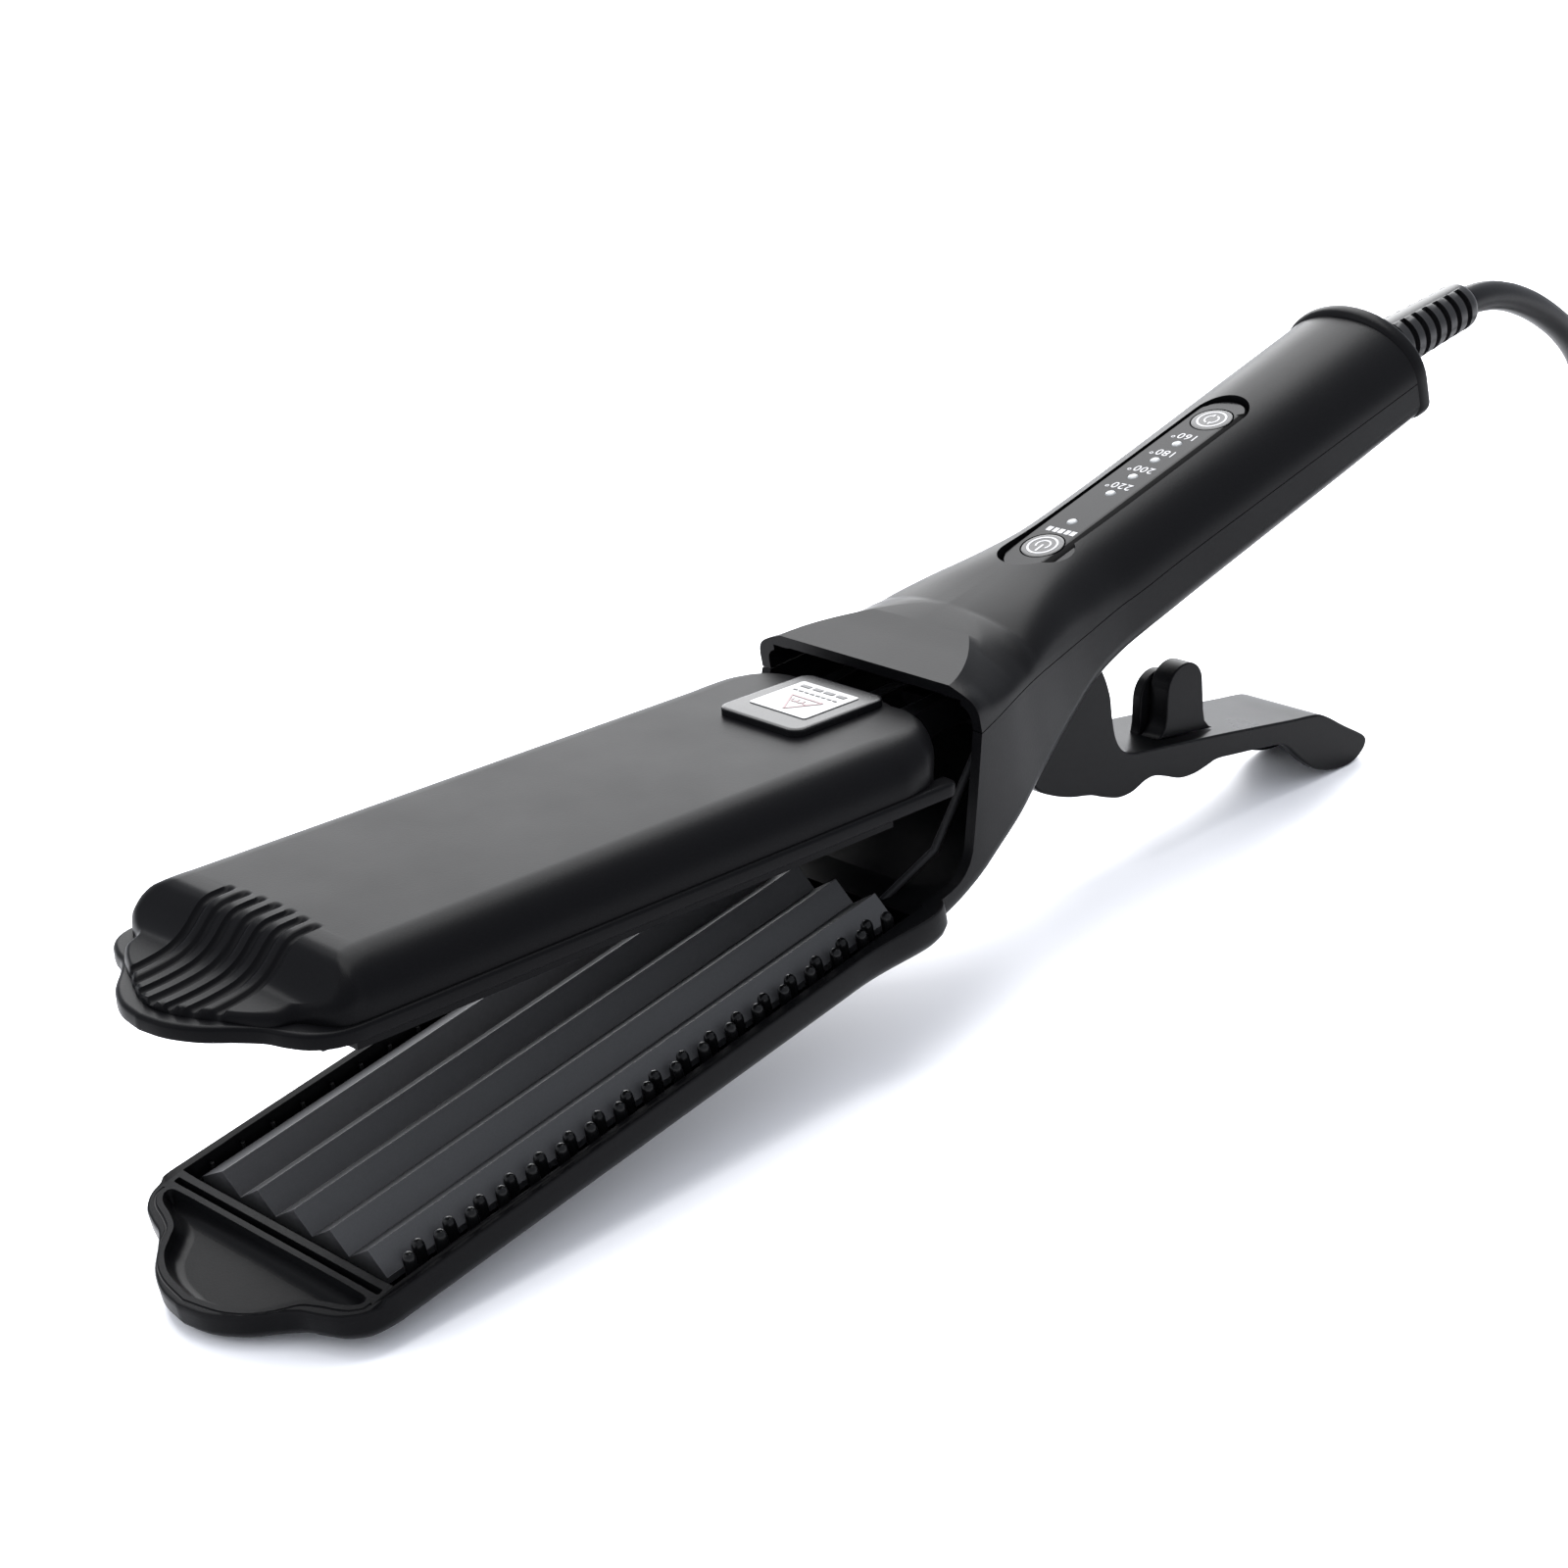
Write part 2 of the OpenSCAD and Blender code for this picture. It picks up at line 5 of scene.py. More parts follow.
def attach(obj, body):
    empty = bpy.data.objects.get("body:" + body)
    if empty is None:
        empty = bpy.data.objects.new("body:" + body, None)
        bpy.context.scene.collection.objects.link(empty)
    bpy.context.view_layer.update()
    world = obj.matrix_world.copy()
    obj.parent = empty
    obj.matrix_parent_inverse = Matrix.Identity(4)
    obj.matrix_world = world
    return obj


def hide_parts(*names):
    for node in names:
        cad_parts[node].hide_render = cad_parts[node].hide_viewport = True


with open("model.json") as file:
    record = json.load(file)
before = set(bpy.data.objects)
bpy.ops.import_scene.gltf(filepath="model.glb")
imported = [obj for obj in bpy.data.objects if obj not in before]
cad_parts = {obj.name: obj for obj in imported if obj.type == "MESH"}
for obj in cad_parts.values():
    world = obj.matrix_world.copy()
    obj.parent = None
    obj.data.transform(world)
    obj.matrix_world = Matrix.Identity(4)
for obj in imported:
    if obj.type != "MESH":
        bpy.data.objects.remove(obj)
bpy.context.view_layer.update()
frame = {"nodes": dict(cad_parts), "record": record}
scene = bpy.context.scene
LOWER, UPPER = "handle_and_lower_jaw", "upper_jaw_and_lever"

# ---------------------------------------------------------------- frames, drawn in millimetres
PITCH, OPENING, TILT = 8.9, 11.3, 3.8
PIN_X, PIN_Z = 42, 14
PLUG_AT = (232, -60, 10)
# places along the handle
STRIP_MID = 77.4
POWER_X, TEMPERATURE_X = 51.5, 104.5
LIGHTS_X = (61, 72.8, 79.8, 86.8, 93.8)


def turn(degrees):
    return Matrix.Rotation(math.radians(degrees), 4, "Y")


def move(x, y, z):
    return Matrix.Translation((x, y, z))


JAW = Matrix.Scale(0.001, 4) @ move(-7.24, 0, 33.42) @ turn(-PITCH)
MOVING = JAW @ move(PIN_X, 0, PIN_Z) @ turn(OPENING) @ move(-PIN_X, 0, -PIN_Z)
HANDLE = JAW @ move(0, 0, 15.7) @ turn(-TILT)
RELIEF = JAW @ move(149, 0, 26.1) @ turn(92.5)
TABLE = Matrix.Scale(0.001, 4)


# ---------------------------------------------------------------- materials
def material(name, base, rough, grain=0.25, grain_size=2600, blotch=0.06, coat=0.0, metal=0.0, spec=0.5):
    """A moulded finish: fine grain in the bump, slow patches in the roughness and a slight change of tone."""
    m = bpy.data.materials.new(name)
    m.use_nodes = True
    nt = m.node_tree
    n, link = nt.nodes, nt.links.new
    b = n["Principled BSDF"]
    where = n.new("ShaderNodeTexCoord")
    fine = n.new("ShaderNodeTexNoise")
    fine.inputs["Scale"].default_value = grain_size
    fine.inputs["Detail"].default_value = 3
    slow = n.new("ShaderNodeTexNoise")
    slow.inputs["Scale"].default_value = 60
    slow.inputs["Detail"].default_value = 4
    link(where.outputs["Object"], fine.inputs["Vector"])
    link(where.outputs["Object"], slow.inputs["Vector"])
    ramp = n.new("ShaderNodeMapRange")
    ramp.inputs["To Min"].default_value = rough - blotch
    ramp.inputs["To Max"].default_value = rough + blotch
    link(slow.outputs["Fac"], ramp.inputs["Value"])
    link(ramp.outputs["Result"], b.inputs["Roughness"])
    tone = n.new("ShaderNodeMix")
    tone.data_type = "RGBA"
    tone.inputs[6].default_value = (*[c * 0.82 for c in base], 1)
    tone.inputs[7].default_value = (*[min(1, c * 1.2) for c in base], 1)
    link(fine.outputs["Fac"], tone.inputs[0])
    link(tone.outputs[2], b.inputs["Base Color"])
    bump = n.new("ShaderNodeBump")
    bump.inputs["Strength"].default_value = grain
    bump.inputs["Distance"].default_value = 0.00005
    link(fine.outputs["Fac"], bump.inputs["Height"])
    link(bump.outputs["Normal"], b.inputs["Normal"])
    b.inputs["Metallic"].default_value = metal
    b.inputs["Coat Weight"].default_value = coat
    b.inputs["Coat Roughness"].default_value = 0.08
    b.inputs["Specular IOR Level"].default_value = spec
    return m


M = {
    "housing_black": material("satin_housing", (0.003, 0.003, 0.0034), 0.34, spec=0.05),
    "cover_black": material("soft_cover", (0.0026, 0.0026, 0.003), 0.36, spec=0.03),
    "panel_gloss": material("gloss_panel", (0.003, 0.003, 0.0035), 0.16, 0.03, 1500, 0.03, 0.0, 0, 0.06),
    "button_black": material("button_face", (0.008, 0.008, 0.009), 0.26, 0.05, 1500, 0.03, 0.0, 0, 0.2),
    "led_clear": material("milky_lens", (0.16, 0.165, 0.17), 0.25, 0.05, 1500, 0.04, 0.0, 0, 0.3),
    "board_green": material("solder_mask", (0.02, 0.12, 0.05), 0.3, 0.1),
    "lead_black": material("inner_sheath", (0.02, 0.02, 0.022), 0.5),
    "clamp_grey": material("clamp_nylon", (0.1, 0.1, 0.11), 0.5),
    "screw_steel": material("zinc_steel", (0.55, 0.55, 0.57), 0.3, 0.1, 900, 0.08, 0, 1),
    "plate_ceramic": material("ceramic_plate", (0.034, 0.034, 0.036), 0.4, 0.3, 3200, 0.05, 0, 0, 0.5),
    "heater_ceramic": material("heater_foil", (0.7, 0.68, 0.62), 0.35, 0.2, 900, 0.08, 0, 0.6),
    "mica": material("mica_sheet", (0.6, 0.5, 0.28), 0.4, 0.3, 500),
    "fuse_metal": material("tinned_metal", (0.7, 0.7, 0.7), 0.25, 0.05, 900, 0.06, 0, 1),
    "wire_black": material("silicone_wire", (0.012, 0.012, 0.013), 0.5, spec=0.2),
    "comb_black": material("comb_nylon", (0.003, 0.003, 0.0033), 0.28, 0.15, spec=0.15),
    "pin_steel": material("ground_steel", (0.6, 0.6, 0.62), 0.22, 0.05, 900, 0.05, 0, 1),
    "spring_steel": material("spring_wire", (0.5, 0.5, 0.53), 0.28, 0.05, 900, 0.05, 0, 1),
    "pad_black": material("smooth_pad", (0.004, 0.004, 0.0045), 0.26, 0.1, spec=0.12),
    "label_white": material("label_film", (0.2, 0.2, 0.2), 0.35, 0.05, 1200, 0.03),
    "lever_black": material("satin_lever", (0.003, 0.003, 0.0034), 0.3, 0.2, spec=0.05),
    "cord_black": material("pvc_cord", (0.004, 0.004, 0.0046), 0.4, 0.3, 1800, spec=0.1),
    "tie_black": material("hook_strap", (0.02, 0.02, 0.022), 0.75, 0.8, 900),
    "plug_black": material("moulded_pvc", (0.005, 0.005, 0.0055), 0.34, 0.3, 1800, spec=0.2),
    "blade_nickel": material("nickel_blade", (0.62, 0.6, 0.55), 0.24, 0.08, 1200, 0.06, 0, 1),
    # a near-black material used only as painted shade on the control strip's near long edge
    "strip_painted_shade": material("painted_shade_strip_band", (0.0008, 0.0008, 0.0009), 0.5, 0.1, spec=0.02),
    "ink_white": material("white_ink", (0.24, 0.24, 0.25), 0.5, 0.05, 1200, 0.03),
    "ink_grey": material("grey_ink", (0.03, 0.03, 0.032), 0.5, 0.05, 1200, 0.03),
    "ink_red": material("red_ink", (0.17, 0.1, 0.105), 0.5, 0.05, 1200, 0.03),
}
SLOTS = {s["node"]: s["material_slot"] for s in frame["record"]["subparts"]}


# ---------------------------------------------------------------- mesh helpers
def table(rows):
    """A smooth function through rows (x, value, ...) that doesn't overshoot."""
    xs = [r[0] for r in rows]
    cols = list(zip(*rows))[1:]
    slopes = []
    for c in cols:
        d = [(c[i + 1] - c[i]) / (xs[i + 1] - xs[i]) for i in range(len(xs) - 1)]
        m = [d[0]] + [0 if d[i - 1] * d[i] <= 0 else 2 * d[i - 1] * d[i] / (d[i - 1] + d[i])
                      for i in range(1, len(d))] + [d[-1]]
        slopes.append(m)

    def at(x):
        x = min(max(x, xs[0]), xs[-1])
        i = max(j for j in range(len(xs) - 1) if xs[j] <= x) if x < xs[-1] else len(xs) - 2
        h = xs[i + 1] - xs[i]
        t = (x - xs[i]) / h
        out = []
        for c, m in zip(cols, slopes):
            out.append((2 * t**3 - 3 * t**2 + 1) * c[i] + (t**3 - 2 * t**2 + t) * h * m[i]
                       + (3 * t**2 - 2 * t**3) * c[i + 1] + (t**3 - t**2) * h * m[i + 1])
        return out
    return at


def spans(a, b, step):
    n = max(1, math.ceil((b - a) / step))
    return [a + (b - a) * i / n for i in range(n + 1)]


def curve2d(points, step=1.0):
    """Points along a centripetal spline through a list of 2-D points."""
    out = []
    for i in range(len(points) - 1):
        p0, p1, p2, p3 = (Vector(points[max(i - 1, 0)]), Vector(points[i]), Vector(points[i + 1]),
                          Vector(points[min(i + 2, len(points) - 1)]))
        n = max(1, math.ceil((p2 - p1).length / step))
        for k in range(n):
            t = k / n
            a, b = (p2 - p0) / 2, (p3 - p1) / 2
            lim = (p2 - p1).length
            a = a if a.length < 1.5 * lim else a.normalized() * 1.5 * lim
            b = b if b.length < 1.5 * lim else b.normalized() * 1.5 * lim
            out.append((2 * t**3 - 3 * t**2 + 1) * p1 + (t**3 - 2 * t**2 + t) * a
                       + (3 * t**2 - 2 * t**3) * p2 + (t**3 - t**2) * b)
    out.append(Vector(points[-1]))
    return out


def mirrored(half, closed_front=True):
    """A closed outline from half of it, given from the rear centre round +Y to the front centre."""
    return half + [Vector((p.x, -p.y)) for p in reversed(half[1:-1])]


def inset(outline, amount):
    """The outline drawn in by an amount, one number or one per point."""
    n = len(outline)
    area = sum(outline[i].x * outline[(i + 1) % n].y - outline[(i + 1) % n].x * outline[i].y
               for i in range(n))
    side = 1 if area > 0 else -1
    out = []
    for i, p in enumerate(outline):
        e1 = (p - outline[i - 1]).normalized()
        e2 = (outline[(i + 1) % n] - p).normalized()
        t = (e1 + e2).normalized()
        k = amount[i] if isinstance(amount, (list, tuple)) else amount
        c = max(0.45, t.dot(e2))
        out.append(p + Vector((-t.y, t.x)) * side * k / c)
    return out


def new(name, verts, faces):
    me = bpy.data.meshes.new(name)
    me.from_pydata([tuple(v) for v in verts], [], faces)
    bm = bmesh.new()
    bm.from_mesh(me)
    bmesh.ops.remove_doubles(bm, verts=bm.verts, dist=0.002)
    bmesh.ops.dissolve_degenerate(bm, edges=bm.edges, dist=0.001)
    bmesh.ops.recalc_face_normals(bm, faces=bm.faces)
    bm.to_mesh(me)
    bm.free()
    o = bpy.data.objects.new(name, me)
    scene.collection.objects.link(o)
    return o


def rings(name, rows, caps=(True, True)):
    n = len(rows[0])
    faces = [(i * n + j, (i + 1) * n + j, (i + 1) * n + (j + 1) % n, i * n + (j + 1) % n)
             for i in range(len(rows) - 1) for j in range(n)]
    if caps[0]:
        faces.append(tuple(reversed(range(n))))
    if caps[1]:
        faces.append(tuple(range((len(rows) - 1) * n, len(rows) * n)))
    return new(name, [v for r in rows for v in r], faces)


def stack(name, outline, levels):
    """A solid from one outline drawn in at each height: levels are (z, inset), numbers or functions of x."""
    rows = []
    for z, g in levels:
        gs = [g(p.x) if callable(g) else g for p in outline]
        rows.append([(q.x, q.y, z(p.x) if callable(z) else z) for p, q in zip(outline, inset(outline, gs))])
    return rings(name, rows)


def block(x0, x1, y0, y1, z0, z1, r=0.0, seg=3, name="block"):
    o = new(name, [(x, y, z) for x in (x0, x1) for y in (y0, y1) for z in (z0, z1)],
            [(0, 1, 3, 2), (4, 6, 7, 5), (0, 4, 5, 1), (2, 3, 7, 6), (0, 2, 6, 4), (1, 5, 7, 3)])
    if r:
        bevel(o, r, seg)
    return o


def prism(points, y0, y1, name="prism"):
    """An (x, z) outline pushed along Y."""
    n = len(points)
    return new(name, [(p[0], y, p[1]) for y in (y0, y1) for p in points],
               [tuple(range(n)), tuple(range(2 * n - 1, n - 1, -1))]
               + [(i, n + i, n + (i + 1) % n, (i + 1) % n) for i in range(n)])


def drum(centre, axis, h, r1, r2=None, seg=48, name="drum"):
    """A closed cylinder or cone from a centre point along X, Y or Z."""
    r2 = r1 if r2 is None else r2
    i = "XYZ".index(axis)
    rows = []
    for t, r in ((0, r1), (h, r2)):
        row = []
        for k in range(seg):
            a = 2 * math.pi * k / seg
            v = [0, 0, 0]
            v[i] = t
            v[(i + 1) % 3] = r * math.cos(a)
            v[(i + 2) % 3] = r * math.sin(a)
            row.append(tuple(c + d for c, d in zip(centre, v)))
        rows.append(row)
    return rings(name, rows)


def lathe(profile, seg=64, name="lathe"):
    """A turned solid about Z from (radius, z) rows, open profile from axis to axis."""
    return rings(name, [[(r * math.cos(2 * math.pi * k / seg), r * math.sin(2 * math.pi * k / seg), z)
                         for k in range(seg)] for r, z in profile])


def sweep(name, path, radius, seg=16):
    """A round bar along a path, with flat ends."""
    path = [Vector(p) for p in path]
    rows, up = [], None
    for i, p in enumerate(path):
        t = (path[min(i + 1, len(path) - 1)] - path[max(i - 1, 0)]).normalized()
        if up is None:
            up = Vector((0, 1, 0)) if abs(t.y) < 0.9 else Vector((0, 0, 1))
        side = t.cross(up).normalized()
        up = side.cross(t).normalized()
        r = radius(i / (len(path) - 1)) if callable(radius) else radius
        rows.append([p + side * r * math.cos(2 * math.pi * k / seg) + up * r * math.sin(2 * math.pi * k / seg)
                     for k in range(seg)])
    return rings(name, rows)


def bake(o):
    """Applies the modifiers."""
    deps = bpy.context.evaluated_depsgraph_get()
    me = bpy.data.meshes.new_from_object(o.evaluated_get(deps))
    o.modifiers.clear()
    o.data = me
    return o


def bevel(o, width, seg=3, angle=35):
    b = o.modifiers.new("bevel", "BEVEL")
    b.width, b.segments, b.limit_method = width, seg, "ANGLE"
    b.angle_limit = math.radians(angle)
    b.use_clamp_overlap = True
    return bake(o)


def combine(o, tools, how="DIFFERENCE"):
    for t in tools:
        b = o.modifiers.new("bool", "BOOLEAN")
        b.operation, b.object, b.solver = how, t, "EXACT"
        bake(o)
        bpy.data.objects.remove(t)
    return o


def join(name, parts):
    """Several closed solids in one mesh."""
    verts, faces = [], []
    for p in parts:
        k = len(verts)
        verts += [tuple(v.co) for v in p.data.vertices]
        faces += [tuple(k + i for i in f.vertices) for f in p.data.polygons]
        bpy.data.objects.remove(p)
    me = bpy.data.meshes.new(name)
    me.from_pydata(verts, [], faces)
    o = bpy.data.objects.new(name, me)
    scene.collection.objects.link(o)
    return o


def place(o, where, body, slot, name=None, hides=(), angle=38):
    """Puts a piece drawn in millimetres where it belongs, with its finish."""
    if name:
        o.name = name
        o.data.name = name
    o.data.transform(where)
    if where.determinant() < 0:
        o.data.flip_normals()
    for p in o.data.polygons:
        p.use_smooth = True
    o.data.set_sharp_from_angle(angle=math.radians(angle))
    w = o.modifiers.new("normals", "WEIGHTED_NORMAL")
    w.keep_sharp = True
    w.weight = 80
    o.data.materials.clear()
    o.data.materials.append(M[slot])
    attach(o, body)
    if hides:
        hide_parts(*hides)
    return o


# ---------------------------------------------------------------- camera, floor and light
def camera():
    right = Vector((0.7067, -0.7049, -0.0603)).normalized()
    back = Vector((-0.6328, -0.668, 0.3916))
    back = (back - right * back.dot(right)).normalized()
    up = back.cross(right)
    cam = bpy.data.objects.new("camera", bpy.data.cameras.new("camera"))
    cam.data.lens, cam.data.sensor_width = 73.33, 36
    cam.data.clip_start, cam.data.clip_end = 0.02, 50
    m = Matrix((right, up, back)).transposed().to_4x4()
    m.translation = Vector((-0.39394, -0.3806, 0.26972))
    cam.matrix_world = m
    scene.collection.objects.link(cam)
    scene.camera = cam


def light(name, at, aim, size, power, colour=(1, 1, 1), size_y=None):
    d = bpy.data.lights.new(name, "AREA")
    d.shape = "RECTANGLE"
    d.size, d.size_y, d.energy, d.color = size, size_y or size, power, colour
    o = bpy.data.objects.new(name, d)
    o.location = at
    o.rotation_euler = (Vector(aim) - Vector(at)).to_track_quat("-Z", "Y").to_euler()
    scene.collection.objects.link(o)
    return o


def studio():
    bpy.ops.mesh.primitive_plane_add(size=8, location=(0.9, 0.9, -0.0002))
    floor = bpy.context.object
    floor.name = "floor"
    m = bpy.data.materials.new("floor_paper")
    m.use_nodes = True
    b = m.node_tree.nodes["Principled BSDF"]
    b.inputs["Base Color"].default_value = (0.93, 0.93, 0.95, 1)
    b.inputs["Roughness"].default_value = 0.9
    b.inputs["Specular IOR Level"].default_value = 0.1
    floor.data.materials.append(m)
    w = bpy.data.worlds.new("studio")
    w.use_nodes = True
    scene.world = w
    w.node_tree.nodes["Background"].inputs["Color"].default_value = (0.88, 0.92, 1, 1)
    w.node_tree.nodes["Background"].inputs["Strength"].default_value = 1.15
    light("top", (0.25, 0.35, 1.3), (0, 0, 0.03), 1.2, 40)
    light("back", (0.9, 1.0, 0.75), (0, 0, 0.05), 1.2, 26)
    light("left", (-1.1, 0.5, 0.8), (0, 0, 0.03), 0.8, 4)


camera()
studio()
scene.view_settings.view_transform = "Standard"

# ---------------------------------------------------------------- jaws: outlines in plan
flange_half = curve2d([(-8.4, 0), (-8.4, 25), (-8.5, 27.6), (-9.2, 28.6), (-10.6, 28.9), (-60, 28.9),
                       (-100, 28.9), (-137, 28.9), (-141, 28.7), (-144.5, 27.7), (-147.4, 25.3), (-149.2, 22),
                       (-150.4, 18.7), (-153, 15.2), (-156.8, 10.8), (-159.4, 5.5), (-160.3, 0)], 1.0)
width = table([(-157.5, 0.8), (-157.3, 2.6), (-155.8, 6.9), (-153.6, 11.3), (-151.8, 15), (-150.2, 17.9),
               (-148.3, 20.1),
               (-146.2, 20.9), (-144.9, 22.6), (-143.7, 25.2), (-142.2, 27.1), (-140.2, 27.8), (-136, 28),
               (-21, 28),
               (-15, 27.2), (-10.8, 25.2), (-8.2, 22), (-6.6, 17.5), (-6, 12)])
slope = table([(-158, 9.2), (-153, 9.5), (-149.5, 9.9), (-146.5, 10.5), (-144, 11.6), (-142, 13.2),
               (-140.3, 15), (-138.8, 16.2), (-137, 16.75), (-134, 16.9), (-6, 16.9)])
shoulder = table([(-158, 9.2), (-149.5, 9.6), (-146.3, 10), (-144, 11.1), (-142, 12.8), (-140.3, 14.7),
                  (-138.8, 16),
                  (-137, 16.7), (-134, 16.9), (-6, 16.9)])
edge_r = table([(-158, 1.7), (-150, 1.8), (-145, 2.0), (-142.5, 2.6), (-140, 4.6), (-137, 7.4), (-132, 8),
                (-24, 8), (-12, 6), (-6, 3)])


# ---------------------------------------------------------------- upper cover
def lid_height(x, y):
    """Height of the lid: a rolled edge, and seven grip channels over the slope and the tip."""
    w, side = width(x)[0], min(1, max(0, (abs(y) - 19) / 2.4))
    z = slope(x)[0] + (shoulder(x)[0] - slope(x)[0]) * side * side * (3 - 2 * side)
    r = min(edge_r(x)[0], 0.8 * w)
    d = w - abs(y)
    if d < r:
        z += math.sqrt(max(0, r * r - (r - d) ** 2)) - r
    for k in range(-3, 4):
        ahead, t = -132.6 - 0.16 * abs(k) ** 1.5 - x, abs(y - 3.72 * k) / 0.98
        if t < 1 and ahead > 0:
            z -= 0.85 * min(1, ahead / 1.4) * math.sqrt(1 - t * t)
    return z


def upper_cover():
    outline = mirrored(flange_half)
    flange = stack("flange", outline, [(5.0, 0.7), (5.15, 0.3), (5.5, 0.02), (7.1, 0), (7.55, 0.15),
                                       (7.8, 0.5),
                                      (7.88, 0.95)])
    rows = []
    for x in spans(-157.5, -131, 0.4) + spans(-131, -25, 6)[1:] + spans(-25, -6, 0.6)[1:]:
        w, r = width(x)[0], min(edge_r(x)[0], 0.8 * width(x)[0])
        ys = [max(min(12.6, w), w - r * (1 - math.cos(math.radians(7.5 * k)))) for k in range(13)]
        ys += [min(w, 12.6 - 0.3 * k) for k in range(1, 43)]
        ys += [-y for y in reversed(ys[:-1])]
        rows.append([(x, w, 6.8)] + [(x, y, lid_height(x, y)) for y in ys] + [(x, -w, 6.8)])
    lid = rings("lid", rows)
    # hollow underside
    half = [(25.6, 3.0), (25.6, 9.5), (24.6, 12.4), (21.8, 14.4), (18, 14.8), (0, 14.8)]
    half = half + [(-y, z) for y, z in reversed(half[:-1])]
    for o in (flange, lid):
        combine(o, [rings("room", [[(x, y, z) for y, z in half] for x in (-137.6, -7.5)])])
    return join("cover", [flange, lid])


# ---------------------------------------------------------------- lower jaw and lower half of the handle
stations = [(0, 27.6, 22.6, 30.6, 5, -3.6), (9, 25.6, 22.6, 30.6, 4.6, -1.6), (19, 22.6, 22.0, 30.8, 3.8,
                                                                               1.0),
            (33, 18.8, 20.4, 31.0, 3, 4.6), (45, 16.4, 19.6, 31.4, 2.4, 7.6), (57, 15.2, 19.6, 31.9, 2.1,
                                                                               8.8),
            (72, 15.1, 20.5, 32.8, 2.05, 9.9), (98, 15.6, 22.2, 34.5, 2.05, 12.2),
            (124, 16.3, 24.0, 36.2, 2.05, 14.6), (149, 16.9, 25.6, 37.8, 2.05, 17)]
house = table([(-30, 30, 22.6, 30.6, 5, -8.6), (-24, 30, 22.6, 30.6, 5, -7.5), (-14, 29.4, 22.6, 30.6, 5,
                                                                                -6.6),
               (-6, 28.6, 22.6, 30.6, 5, -5.2)] + stations)
nose_out = curve2d([(-18, 0), (-18, 29.8), (-40, 30), (-80, 30), (-120, 30), (-143, 30), (-146.5, 29.9),
                    (-150.5, 28.8), (-153.6, 25.9), (-155.3, 22), (-156.5, 18.6), (-159, 15.3),
                    (-162.8, 10.8),
                    (-165.4, 5.5), (-166.3, 0)], 1.0)
nose_in = curve2d([(-148, 0), (-148, 24), (-148.3, 26), (-149.6, 26.3), (-151.2, 24.4), (-152.6, 20.4),
                   (-154.2, 17.2),
                   (-156.6, 15.2), (-159.6, 12.5), (-162.3, 7.3), (-163.7, 0)], 0.8)


def lower_ring(x, t=0.0, lift=0.0, split=0.0):
    w, zp, zt, n, zb = house(x)
    r = 4.2 - t / 2
    w, zb = w - t, zb + t
    pts = [(x, w, zp + lift - split)]
    for k in range(9):
        a = math.radians(11.25 * k)
        pts.append((x, w - r + r * math.cos(a), zb + r - r * math.sin(a)))
    pts += [(x, w * 0.5, zb - 0.1), (x, 0, zb - 0.15)]
    return pts + [(x, -y, z) for _, y, z in reversed(pts[:-1])]


